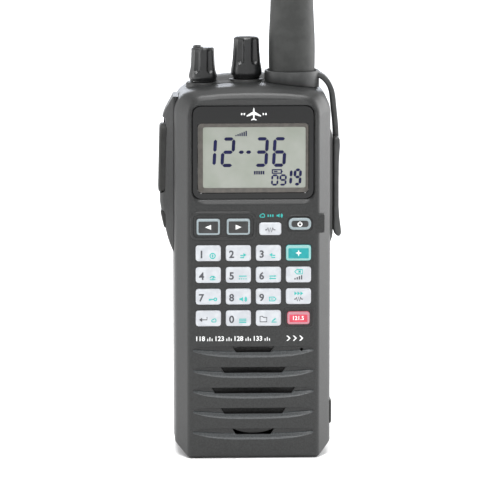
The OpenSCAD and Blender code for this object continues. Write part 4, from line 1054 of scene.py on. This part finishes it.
print("building the chassis")
chassis = {
    "trayBack": span("battery_lid")[0].y - 0.2,
    "hoodBottom": packHigh.z + 0.35,
    "hoodBack": span("clip_base")[0].y - 0.05,
    "hoodRound": 3.0,
    "deckRise": 2.0,
    "wingDepth": (-6.0, 8.0),          # how far the wings reach in front of and behind the seam line
    "leftWing": [(4.4, 0.25), (5.6, 0.9), (7.2, 1.8), (9.0, 2.8), (10.7, 3.45), (12.1, 3.8), (14.3, 4.0),
                 (17, 4.1),
                 (26, 4.45), (34, 4.75), (38, 4.8), (41.6, 4.8), (44, 4.45), (46, 4.0), (48.3, 3.5),
                 (50.5, 3.0), (53, 2.4), (55.6, 1.6), (57.4, 0.8), (58.6, 0.25)],
    "rightWing": [(16.0, 0.2), (17.2, 0.65), (18.9, 1.08), (22, 1.08), (30, 1.08), (40, 1.08), (50, 1.08),
                  (52.4, 1.08), (53.8, 0.85), (54.8, 0.45), (55.4, 0.2)],
}
trayBack, hoodBack, hoodBottom = chassis["trayBack"], chassis["hoodBack"], chassis["hoodBottom"]
trayRings = [(trayFront, 0.2), (trayFront + 0.25, 0), (trayBack - 0.3, 0), (trayBack, 0.25)]
chassisBody = newPiece("chassis", loft([alongY(bodyOutline(14, inset + 1e-6), y) for y, inset in trayRings]),
                       caseFinish)
hoodRings = [(trayFront + 0.3, 0.0)]
for k in range(9):
    angle = math.pi / 2 * k / 8
    hoodRings.append((hoodBack - chassis["hoodRound"] * (1 - math.sin(angle)),
                      chassis["hoodRound"] * (1 - math.cos(angle))))
hoodRings[1:1] = [(y, 0.0) for y in (-1.0, 1.0, 3.0, 5.0, 7.0, 9.0, 10.5)]


def raisedDeck(ring, y):
    # the top of the hood climbs a little towards the back, less so near its corners
    climb = min(max((y + 3) / 14, 0), 1)
    climb = chassis["deckRise"] * climb * climb * (3 - 2 * climb)
    lifted = []
    for p in ring:
        share = min(max((p[2] - bodyTop + 4) / 3, 0), 1) * max(1 - abs(p[0] / 24.5) ** 4, 0)
        lifted.append((p[0], p[1], p[2] + climb * share))
    return lifted


hood = tool(loft([raisedDeck(alongY(bodyOutline(14, inset + 1e-6, hoodBottom), y), y) for y,
                  inset in hoodRings]))


def wingTool(stations, side):
    y0, y1 = chassis["wingDepth"]
    rings = []
    for drop, out in stations:
        z = bodyTop - drop
        x = halfWidth + out
        full = min(out / 4, 1)
        corners = [(side * 24.2, y0), (side * (halfWidth + 0.04 * full), y0),
                   (side * (x - 0.75 * full), y0 + 3.0 * full),
                   (side * x, y0 + 0.1 + 4.2 * full), (side * x, y1 - 3.2),
                   (side * (x - min(1.6, out * 0.7)), y1), (side * 24.2, y1)]
        rings.append(alongZ(softCorners(corners, [0.05, 0.5, 0.8, 0.8, 1.6, 1.2, 0.05], 4), z))
    return tool(loft(rings))


leftWing = wingTool(chassis["leftWing"], -1)
rightWing = wingTool(chassis["rightWing"], 1)
caseRoom = [-1.0, 0.0, 0.3, 1.2, 2.6, 4.6, 6.4, 7.4, 8.4, 9.8, 11.5, trayFront - frontY]
clearance = tool(bodyLoft(caseRoom, [-0.1] * len(caseRoom)))


def packOutline(grow):
    low = packHigh.z + grow
    w = halfWidth + grow
    return softCorners([(-22.1 - grow, -grow), (22.1 + grow, -grow), (w, 4.5), (w, low), (-w, low),
                        (-w, 4.5)],
                       [0.8, 0.8, 0.8, 0.6, 0.6, 0.8], 3)


packRoom = tool(loft([alongY(packOutline(0.3), y) for y in (trayBack, chassis["wingDepth"][1] + 1)]))
for wing in (leftWing, rightWing):
    spare = clearance.copy()
    spare.data = clearance.data.copy()
    scene.collection.objects.link(spare)
    spareRoom = packRoom.copy()
    spareRoom.data = packRoom.data.copy()
    scene.collection.objects.link(spareRoom)
    carve(wing, [spare, spareRoom])
bpy.data.objects.remove(clearance)
bpy.data.objects.remove(packRoom)
volumeMid, dialMid = middle("volume_knob"), middle("dial_knob")
antennaMid = middle("antenna_sleeve")


def collar(centre, radius, top, height):
    return tool(turned([(radius - 0.6, top - height), (radius + 0.5, top - height),
                        (radius + 0.12, top - 0.9), (radius, top - 0.4),
                        (radius - 0.12, top - 0.12), (radius - 0.4, top), (radius - 1.2, top - 0.02)], 64,
                        (centre.x, centre.y)))


collars = [collar(volumeMid, 5.75, span("volume_knob")[0].z - 0.3, 3.5),
           collar(dialMid, 6.2, span("dial_knob")[0].z - 0.3, 3.2)]
railMiddle = 18.2
rails = []
for side in (-1, 1):
    for width, y0, y1 in ((1.0, -0.3, 2.4), (3.4, 1.2, 2.4)):
        rails.append(tool(loft([alongZ(softBox(width, y1 - y0, 0.15, 2,
                                               (side * railMiddle, trayBack + (y0 + y1) / 2)), z)
                                for z in (0.3, packHigh.z - 3)])))
carve(chassisBody, [hood, leftWing, rightWing] + collars + rails, "UNION")
trayFloor = trayBack - 1.6
hollows = [tool(loft([alongY(bodyOutline(14, wall + 1e-6), y) for y in (trayFront - 1, trayFloor)])),
           tool(loft([alongY(bodyOutline(14, wall + 1e-6, packHigh.z + 4), y)
                      for y in (trayFront - 0.9, hoodBack - wall)]))]
pttLow, pttHigh = span("ptt_button")
sideLow, sideHigh = span("side_key")
play = 0.3


def pocketTool(low, high, floorX):
    outline = softBox(high.y - low.y + 2 * play, high.z - low.z + 2 * play, 1.6, 6,
                      ((low.y + high.y) / 2, (low.z + high.z) / 2))
    return tool(loft([alongX(outline, x) for x in (floorX, floorX - 8)]))


plungers = {"talk": 1.5, "side": 0.9}
hollows += [roundAlongX(plungers["talk"] + 0.2, (pttLow.y + pttHigh.y) / 2, (pttLow.z + pttHigh.z) / 2, -33,
                        -24),
            roundAlongX(plungers["side"] + 0.2, (sideLow.y + sideHigh.y) / 2, (sideLow.z + sideHigh.z) / 2,
                        -33, -24)]
notchTop = Vector((0, pttHigh.y + 0.5, pttHigh.z + 2.2))
notchLow = Vector((0, pttLow.y - 0.5, pttHigh.z - 3))
hollows += [pocketTool(pttLow, pttHigh, -halfWidth - 1.6), pocketTool(sideLow, sideHigh, -halfWidth - 1.6),
            pocketTool(notchLow, notchTop, -halfWidth - 2.75)]
for z in sockets["heights"]:
    hollows.append(roundAlongX(sockets["barrel"], sockets["y"], z, 24.0, 31.0))
for knob, radius in ((volumeMid, 3.7), (dialMid, 3.7)):
    hollows.append(tool(turned([(radius, bodyTop - 9), (radius, bodyTop + 3)], 40, (knob.x, knob.y))))
hollows.append(tool(turned([(5.6, bodyTop - 12), (5.6, bodyTop - 3.2), (4.9, bodyTop - 3.1),
                            (4.9, bodyTop + 3)], 48,
                           (antennaMid.x, antennaMid.y))))
for side in (-1, 1):
    for z in (28.0, 70.0):
        hollows.append(tool(loft([alongY([(side * 22.9 + 2.0 * math.cos(math.tau * k / 32),
                                           z + 2.0 * math.sin(math.tau * k / 32))
                                          for k in range(32)], y) for y in (trayBack - 1.6, trayBack + 1)])))
for x in (-8, 0, 8):
    hollows.append(tool(loft([alongZ(softBox(2.2, 4.2, 0.1, 2, (x, middle("battery_contacts").y)), z)
                              for z in (packHigh.z - 1, packHigh.z + 6)])))
for hollow in hollows:
    carve(chassisBody, [hollow])
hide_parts("chassis")
dress(chassisBody, "radio_body", 32)

# push-to-talk button and side key

print("building the side controls")


def pushPad(name, node, body, low, high, backX, outTop, outFoot, reach, ribs, plunger):
    # padded button on the left side whose face leans from top to foot
    midY, midZ = (low.y + high.y) / 2, (low.z + high.z) / 2
    w, h = high.y - low.y, high.z - low.z
    rings = []

    def ring(inset, out):
        outline = softBox(w - 2 * inset, h - 2 * inset, max(reach - inset * 0.5, 0.4), 8, (midY, midZ))
        placed = []
        for y, z in outline:
            lean = outTop + (outFoot - outTop) * (high.z - z) / h
            placed.append((-(backX + (lean - backX) * out), y, z))
        return placed
    rings.append(ring(0, 0))
    for k in range(6):
        angle = math.pi / 2 * k / 5
        rings.append(ring(1.1 * (1 - math.cos(angle)), 0.66 + 0.3 * math.sin(angle)))
    rings.append(ring(min(1.9, w * 0.3), 0.93))
    rings.append(ring(w * 0.42, 0.9))
    bm = loft(rings)
    for k in range(ribs):
        z = midZ + (k - (ribs - 1) / 2) * h / (ribs + 2.2)
        lean = outTop + (outFoot - outTop) * (high.z - z) / h
        path = [(-(lean - 0.55 - 0.4 * abs(t) ** 3), midY + t * (w / 2 - 1.5), z)
                for t in [j / 6 for j in range(-6, 7)]]
        tubeAlong([Vector(p) for p in path], 0.42, 8, False, bm, 1.0)
    tubeAlong([(-backX - 0.4, midY, midZ), (high.x, midY, midZ)], plunger, 16, False, bm)
    piece = newPiece(name, bm, rubberFinish)
    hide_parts(node)
    return dress(piece, body, 50)


pushPad("talkButton", "ptt_button", "ptt", pttLow, pttHigh, halfWidth + 2.55, halfWidth + 4.95,
        halfWidth + 5.55, 2.4, 5, plungers["talk"])
pushPad("sideKey", "side_key", "side_button", sideLow, sideHigh, halfWidth + 2.4, halfWidth + 4.88,
        halfWidth + 3.48, 1.5, 1, plungers["side"])


# knobs

print("building the knobs")


def flutedKnob(name, node, body, centre, low, profile, flutes, fluteStart, fluteAxis, fluteRadius, turn=0.0):
    steps = 216
    rings = []
    for radius, z in profile:
        ring = []
        for i in range(steps):
            angle = math.tau * i / steps
            r = radius
            cut = fluteRadius
            if z < fluteStart:
                cut = math.sqrt(max(fluteRadius ** 2 - (fluteStart - z) ** 2, 0))
            fade = min(max((z - profile[-3][1] + 1.6) / 1.6, 0), 1)
            cut *= 1 - 0.55 * fade * fade
            local = (angle - math.radians(turn) + math.pi / flutes) % (math.tau / flutes) - math.pi / flutes
            across = fluteAxis * math.sin(local)
            if abs(across) < cut:
                r = softLess(radius, fluteAxis * math.cos(local) - math.sqrt(cut ** 2 - across ** 2), 0.22)
            ring.append((centre.x + r * math.cos(angle), centre.y + r * math.sin(angle), low + z))
        rings.append(ring)
    piece = newPiece(name, loft(rings), knobFinish)
    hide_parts(node)
    return piece


def knobProfile(points, topRadius, topZ, edge, dish):
    # side points from the foot up, then a rounded shoulder and a faintly dished top
    path = [(points[0][0] - 0.5, points[0][1])]
    for (r0, z0), (r1, z1) in zip(points, points[1:]):
        steps = max(int((z1 - z0) / 0.28), 1)
        path += [(r0 + (r1 - r0) * k / steps, z0 + (z1 - z0) * k / steps) for k in range(steps)]
    path.append(points[-1])
    for k in range(1, 7):
        angle = math.pi / 2 * k / 6
        path.append((topRadius - edge + edge * math.cos(angle), topZ - edge + edge * math.sin(angle)))
    path += [(topRadius - edge - 0.5, topZ - dish * 0.5), (topRadius * 0.4, topZ - dish), (0.05, topZ - dish)]
    return path


volumeLow, volumeHigh = span("volume_knob")
volumeTop = volumeHigh.z - volumeLow.z - 0.62
volumePath = knobProfile([(4.5, 0.0), (4.55, 0.5), (4.78, 0.75), (4.9, 1.3), (4.88, 2.0), (4.7, 2.9),
                          (4.46, 4.0), (4.3, 5.4),
                          (4.18, 7.4), (4.05, volumeTop - 0.8)], 4.05, volumeTop - 0.1, 0.9, -0.1)
volumeKnob = flutedKnob("volumeKnob", "volume_knob", "volume", volumeMid, volumeLow.z, volumePath, 6, 4.2,
                        5.05, 1.45, 2)
pointerPath = [(3.1, 178, -0.1), (2.7, 190, 0.08), (2.2, 208, 0.2), (2.0, 232, 0.24), (2.5, 252, 0.2),
               (3.1, 260, 0.08), (3.6, 263, -0.2), (3.88, 264, -0.75), (3.95, 264, -1.5)]
ridge = [(volumeMid.x + r * math.cos(math.radians(turn)), volumeMid.y + r * math.sin(math.radians(turn)),
          volumeLow.z + volumeTop + rise) for r, turn, rise in pointerPath]
bm = tubeAlong(ridge, 0.55, 10, False, None, 0.7)
newPiece("volumePointer", bm, knobFinish, "volume", 60)
dotTurn = math.radians(262)
dot = turned([(0.02, 0.0), (0.42, 0.0), (0.42, 0.1), (0.3, 0.17), (0.02, 0.2)], 20,
             (volumeMid.x + 3.15 * math.cos(dotTurn), volumeMid.y + 3.15 * math.sin(dotTurn)))
bmesh.ops.translate(dot, verts=dot.verts, vec=Vector((0, 0, (volumeLow.z + volumeTop + 0.36) * mm)))
newPiece("volumeDot", dot, inks["white"], "volume", 50)
dress(volumeKnob, "volume", 50)

dialLow, dialHigh = span("dial_knob")
dialTop = dialHigh.z - dialLow.z
dialPath = knobProfile([(4.6, 0.0), (4.7, 0.45), (5.0, 0.75), (5.28, 1.2), (5.39, 1.8), (5.38, 2.6),
                        (5.25, 3.4), (5.08, 4.4),
                        (4.96, 5.4), (4.82, 7.2), (4.62, 10.0), (4.45, 13.5)], 4.45, dialTop - 0.22, 1.25,
                        -0.22)
dialKnob = flutedKnob("tuningDial", "dial_knob", "dial", dialMid, dialLow.z, dialPath, 6, 6.3, 5.3, 1.5, 4)
dress(dialKnob, "dial", 50)

# antenna, its ring, strap and the socket flap

print("building the antenna and the rubber cover")
sleeveLow, sleeveHigh = span("antenna_sleeve")
sleeveLength = sleeveHigh.z - sleeveLow.z
sleevePoints = [(7.0, 0.0), (7.45, 0.03), (7.7, 0.2), (7.82, 0.5), (7.9, 2.0), (8.0, 5.0), (8.05, 9.0),
                (8.03, 12.0), (7.95, 15.0),
                (7.75, 19.0), (7.5, 24.0), (7.3, 29.0), (7.05, 40.0), (6.7, 60.0), (6.2, 85.0),
                (5.6, 108.0), (5.2, 130.0),
                (4.95, 155.0), (4.8, sleeveLength - 5.0), (4.6, sleeveLength - 3.2),
                (4.1, sleeveLength - 1.6),
                (3.2, sleeveLength - 0.6), (1.8, sleeveLength - 0.12), (0.05, sleeveLength)]
coreTop = sleeveLength - 8
corePoints = [(0.05, coreTop), (2.2, coreTop), (2.2, 13.2), (6.7, 13.0), (6.7, 0.2), (7.0, 0.0)]
bore = [(r, sleeveLow.z + z) for r, z in corePoints]
skinPath = [(r, sleeveLow.z + z) for r, z in sleevePoints]
sleeveMesh = turned(bore + skinPath[1:], 128, (antennaMid.x, antennaMid.y))
sleeve = newPiece("antennaSleeve", sleeveMesh, antennaFinish)
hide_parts("antenna_sleeve")
dress(sleeve, "antenna", 40)

cover = {
    "ring": (8.6, 9.5, bodyTop + 0.06, bodyTop + 3.75),
    "strapWidth": 7.0,
    "strapThick": 1.9,
    "path": [(-5.6, 2.6), (-4.2, 2.45), (-3.0, 1.9), (-1.6, 0.9), (-0.3, -0.7), (0.7, -2.7), (1.2, -4.8),
             (1.4, -7.2), (1.7, -9.8), (2.0, -12.9), (2.3, -16.0), (2.4, -18.6), (2.4, -20.5)],
}
ringIn, ringOut, ringLow, ringHigh = cover["ring"]
ringPath = [(ringIn, ringLow + 0.2), (ringIn, ringHigh - 0.3), (ringIn + 0.15, ringHigh - 0.08),
            (ringIn + 0.35, ringHigh),
            (ringOut - 0.3, ringHigh), (ringOut - 0.08, ringHigh - 0.1), (ringOut, ringHigh - 0.35),
            (ringOut, ringLow + 0.4), (ringOut - 0.15, ringLow + 0.05), (ringIn + 0.2, ringLow)]
ringMesh = turned(ringPath + [ringPath[0]], 96, (antennaMid.x, antennaMid.y), False)
for vert in ringMesh.verts:
    if vert.co.z < (ringLow + 0.5) * mm:
        vert.co.z -= vert.co.x ** 2 / (2 * crownRadius * mm)
coverPiece = newPiece("socketCover", ringMesh, coverPaintedLightRubber)


def strapRing(i, path):
    a, b = path[max(i - 1, 0)], path[min(i + 1, len(path) - 1)]
    along = Vector((b[0] - a[0], b[1] - a[1])).normalized()
    across = Vector((along.y, -along.x))
    outline = softBox(cover["strapWidth"], cover["strapThick"], 0.75, 5)
    x, z = halfWidth + path[i][0], bodyTop + path[i][1]
    return [(x + across.x * p[1], antennaMid.y + p[0], z + across.y * p[1]) for p in outline]


finer = []
for (x0, z0), (x1, z1) in zip(cover["path"], cover["path"][1:]):
    finer += [(x0 + (x1 - x0) * k / 3, z0 + (z1 - z0) * k / 3) for k in range(3)]
finer.append(cover["path"][-1])
for _ in range(3):
    finer = [finer[0]] + [((a[0] + 2 * b[0] + c[0]) / 4, (a[1] + 2 * b[1] + c[1]) / 4)
                          for a, b, c in zip(finer, finer[1:], finer[2:])] + [finer[-1]]
strap = tool(loft([strapRing(i, finer) for i in range(len(finer))]))
flapLow, flapHigh = span("jack_cover_flap")
flapMidY = (flapLow.y + flapHigh.y) / 2
flapDeep = flapHigh.y - flapLow.y
flapStations = [(0.0, 0.9, 1.5, 0.9), (0.35, 0.3, 2.0, 0.35), (1.0, 0.08, 2.3, 0.1), (3.0, 0.0, 2.4, 0.0),
                (6.0, 0.0, 2.2, 0.0),
                (9.0, 0.0, 2.05, 0.0), (16.0, 0.0, 1.98, 0.0), (24.0, 0.0, 2.0, 0.0), (28.0, 0.0, 2.25, 0.0),
                (31.0, 0.0, 2.65, 0.0), (32.6, 0.1, 2.85, 0.1), (33.6, 0.4, 2.9, 0.4), (34.3, 0.9, 2.75, 0.9),
                (34.85, 1.6, 2.3, 1.6)]
flapRings = []
for drop, inner, outer, narrow in flapStations:
    z = flapHigh.z - drop
    outline = softBox(flapDeep - 2 * narrow, outer - inner, min(0.8, (outer - inner) * 0.45), 5)
    flapRings.append([(flapLow.x + (inner + outer) / 2 + p[1], flapMidY + p[0], z) for p in outline])
flap = tool(loft(flapRings))
seatRing = tool(turned([(9.93, bodyTop - 3), (9.93, bodyTop + 0.06)], 64, (antennaMid.x, antennaMid.y)))
carve(strap, [seatRing])
carve(coverPiece, [strap, flap], "UNION")
bevelCore = tool(turned([(8.59, bodyTop - 3), (8.59, bodyTop + 9)], 96, (antennaMid.x, antennaMid.y)))
carve(coverPiece, [bevelCore])
coverPiece.data.shade_smooth()
coverPiece.data.set_sharp_from_angle(angle=math.radians(40))
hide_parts("jack_cover_strap", "jack_cover_flap")
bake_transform(coverPiece)

# charging socket cover on the right side
dcRings = []
for inset, x in ((0.2, dcLow.x), (0.0, dcLow.x + 0.2), (0.0, dcHigh.x - 0.45), (0.1, dcHigh.x - 0.2),
                 (0.35, dcHigh.x - 0.05), (0.8, dcHigh.x), (2.2, dcHigh.x)):
    dcRings.append(alongX(softBox(dcHigh.y - dcLow.y - 2 * inset, dcHigh.z - dcLow.z - 2 * inset, 1.0, 6,
                                  (dcMid.y, dcMid.z)), x))
bm = loft(dcRings)
dcCover = newPiece("chargeCover", bm, rubberFinish)
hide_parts("dc_jack_cover")
dress(dcCover, "charge_cover", 45)

# battery pack

print("building the battery pack")
pack = {"corner": 4.0, "edge": 0.7}


def packSection(y, inset, grow=0.0):
    late = max(y - (backY - pack["corner"]), 0)
    side = halfWidth - pack["corner"] + math.sqrt(max(pack["corner"] ** 2 - late ** 2, 0)) - inset
    side = max(side, halfWidth - pack["corner"] - inset)
    low, high = packLow.z + inset, packHigh.z - inset
    cutX = min(22.1 - inset * 0.4, side - 0.6)
    cutZ = max((side - 22.1) * 4.5 / 4.9 + inset * 0.4, low + 0.6)
    corners = [(-cutX, low), (cutX, low), (side, cutZ), (side, high), (-side, high), (-side, cutZ)]
    return alongY(softCorners(corners, [0.6, 0.6, 0.8, 1.0, 1.0, 0.8], 5), y)


packFront = packLow.y
packRings = [packSection(packFront, 0.2), packSection(packFront + 0.2, 0)]
for y in (backY - pack["corner"],):
    packRings.append(packSection(y, 0))
for k in range(1, 13):
    angle = math.pi / 2 * k / 12
    y = backY - pack["corner"] * (1 - math.sin(angle))
    left = backY - y
    inset = pack["edge"] - math.sqrt(max(pack["edge"] ** 2 - (pack["edge"] - left) ** 2,
                                         0)) if left < pack["edge"] else 0
    packRings.append(packSection(y, inset))
packCase = newPiece("batteryCase", loft(packRings), caseFinish)
latchLow, latchHigh = span("battery_latch")
latchMid = (latchLow + latchHigh) / 2
label = tool(loft([alongY(softBox(37, 38, 1.6, 6, (0, 66)), y) for y in (backY - 0.35, backY + 1)]))
grips = []
for side in (-1, 1):
    for k in range(6):
        z = 22 + 2.6 * k
        grips.append(tool(tubeAlong([(side * 10.5, backY + 0.25, z), (side * 17.5, backY + 0.25, z)], 0.7,
                                    12)))
cellRoom = tool(loft([alongY(softBox(2 * (halfWidth - 1.6), packHigh.z - 1.6 - 20, 1.0, 4,
                                     (0, (packHigh.z - 1.6 + 20) / 2)), y)
                      for y in (packFront - 1, backY - 1.6)]))
latchRoom = tool(loft([alongY(softBox(13.6, 11.5, 0.8, 5, (0, latchMid.z + 1.25)), y)
                       for y in (backY - 2.5, backY + 1)]))
latchRail = tool(loft([alongY(softBox(18.6, 12.9, 0.4, 4, (0, latchMid.z + 1.25)), y)
                       for y in (backY - 3.2, backY - 1.8)]))
for item in [label] + grips + [cellRoom, latchRoom, latchRail]:
    carve(packCase, [item])
for x in (-8, 0, 8):
    carve(packCase, [tool(loft([alongZ(softBox(3.4, 5.0, 0.2, 3, (x, middle("battery_terminals").y)), z)
                                for z in (packHigh.z - 0.6, packHigh.z + 1)]))])
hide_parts("battery_case")
dress(packCase, "battery", 32)
newPiece("backPlate", loft([alongY(softBox(36.4 - 2 * i, 37.4 - 2 * i, 1.4, 6, (0, 66)), y)
                            for i, y in ((0, backY - 0.34), (0, backY - 0.2), (0.12, backY - 0.12))]),
         nylonFinish, "battery")

latchPiece = newPiece("batteryLatch",
                      loft([alongY(softBox(17.6 - 2 * i, 9.4 - 2 * i, 0.4, 4, (0, latchMid.z)), y)
                                            for i, y in ((0, backY - 3.1), (0, backY - 2.0))]), nylonFinish)
thumb = tool(loft([alongY(softBox(12.8 - 2 * i, 8.2 - 2 * i, 0.9, 5, (0, latchMid.z)), y)
                   for i, y in ((0, backY - 2.4), (0, backY - 1.0), (0.15, backY - 0.72),
                                (0.45, backY - 0.6))]))
carve(latchPiece, [thumb], "UNION")
latchRibs = [tool(tubeAlong([(-5.2, backY - 0.62, latchLow.z + 2.0 + 1.5 * k),
                             (5.2, backY - 0.62, latchLow.z + 2.0 + 1.5 * k)], 0.45, 12))
             for k in range(4)]
for rib in latchRibs:
    carve(latchPiece, [rib], "UNION")
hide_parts("battery_latch")
dress(latchPiece, "latch", 35)

# finishes of the pieces that keep their frame shapes

print("finishing the inner pieces")
keptFinishes = {
    "keypad_membrane": domeFinish, "speaker_frame": basketShadeBlack, "speaker_cone": coneAndMicShadeFinish,
    # the microphone is drawn dull black: painted shade in the sound hole
    "microphone": coneAndMicShadeFinish,
    "logic_board": boardFinish, "radio_board": boardFinish, "main_seal": rubberFinish,
    "machine_screws": steelFinish,
    "bnc_socket": nickelFinish, "volume_pot": nickelFinish, "dial_encoder": nickelFinish,
    "jack_block": nylonFinish,
    "dc_jack": nylonFinish, "side_switches": boardFinish, "battery_contacts": goldFinish,
    "volume_shaft": nylonFinish,
    "dial_shaft": nylonFinish, "antenna_coupling": nickelFinish, "antenna_coil": steelFinish,
    "battery_lid": caseFinish,
    "battery_cells": sleeveFinish, "battery_terminals": goldFinish, "clip_base": nylonFinish,
    "clip_arm": nylonFinish, "clip_pin": steelFinish, "clip_spring": steelFinish,
}
for node, finish in keptFinishes.items():
    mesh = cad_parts[node].data
    mesh.materials.clear()
    mesh.materials.append(finish)
for node, width in (("clip_arm", 0.35), ("clip_base", 0.3), ("battery_lid", 0.15)):
    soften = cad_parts[node].modifiers.new("brokenEdges", "BEVEL")
    soften.width = width * mm
    soften.segments = 2
    soften.limit_method = "ANGLE"
    soften.angle_limit = math.radians(40)
    soften.harden_normals = True

# stage, camera and lights

shot = {
    "azimuth": -2.2,
    "elevation": 9.0,
    "distance": 1.5,
    "lens": 314,
    "target": (-0.00116, -0.01775, 0.0731),
}
camera = bpy.data.objects.new("camera", bpy.data.cameras.new("camera"))
scene.collection.objects.link(camera)
azimuth, elevation = math.radians(shot["azimuth"]), math.radians(shot["elevation"])
away = Vector((math.sin(azimuth) * math.cos(elevation), -math.cos(azimuth) * math.cos(elevation),
               math.sin(elevation)))
camera.location = Vector(shot["target"]) + away * shot["distance"]
camera.rotation_mode = "QUATERNION"
camera.rotation_quaternion = (-away).to_track_quat("-Z", "Y")
camera.data.lens = shot["lens"]
camera.data.sensor_width = 36
camera.data.clip_start = 0.05
camera.data.clip_end = 60
scene.camera = camera

studio = {
    "floorRadius": 9000,
    "floorDepths": (-12, -0.05),
    "worldStrength": 0.93,
}
sweepFinish = finishOf("matt white studio sweep", "fdfdfd", 0.9)
shadesOn(sweepFinish, 400, "fcfcfc", "fefefe")
sweep = newPiece("studioFloor", loft([[(studio["floorRadius"] * math.cos(math.tau * i / 64),
                                       studio["floorRadius"] * math.sin(math.tau * i / 64), z)
                                      for i in range(64)] for z in studio["floorDepths"]]), sweepFinish)
sweep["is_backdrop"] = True

world = bpy.data.worlds.new("studio")
scene.world = world
world.use_nodes = True
world.node_tree.nodes["Background"].inputs["Color"].default_value = (1, 1, 1, 1)
world.node_tree.nodes["Background"].inputs["Strength"].default_value = studio["worldStrength"]
scene.view_settings.view_transform = "Standard"


def softLight(name, place, aim, size, power, spread=180):
    lamp = bpy.data.lights.new(name, "AREA")
    lamp.shape = "RECTANGLE"
    lamp.size, lamp.size_y = size
    lamp.energy = power
    lamp.spread = math.radians(spread)
    light = bpy.data.objects.new(name, lamp)
    scene.collection.objects.link(light)
    light.location = place
    light.rotation_mode = "QUATERNION"
    light.rotation_quaternion = (Vector(aim) - Vector(place)).to_track_quat("-Z", "Y")
    light.visible_camera = False
    return light


softLight("rightSoftBox", (0.8, 0.38, 0.25), (0, 0, 0.07), (0.5, 0.6), 5)
softLight("rightEdgeBox", (0.9, -0.12, 0.25), (0, 0, 0.07), (0.16, 0.6), 1.2)
softLight("topSoftBox", (0.0, -0.06, 0.85), (0, 0, 0.1), (0.6, 0.2), 5.5)
softLight("frontTopBox", (-0.12, -0.85, 1.1), (0, 0, 0.07), (0.5, 0.3), 6.5)
softLight("leftSoftBox", (-0.8, 0.4, 0.25), (0, 0, 0.07), (0.4, 0.6), 0.6)
softLight("leftEdgeBox", (-0.9, -0.03, 0.2), (0, 0, 0.07), (0.3, 0.6), 2.2)
backBox = softLight("backSoftBox", (0.0, 1.6, 0.4), (0, 0, 0.12), (1.4, 0.3), 7)
backBox.data.color = (0.86, 0.91, 1.0)

low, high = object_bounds()
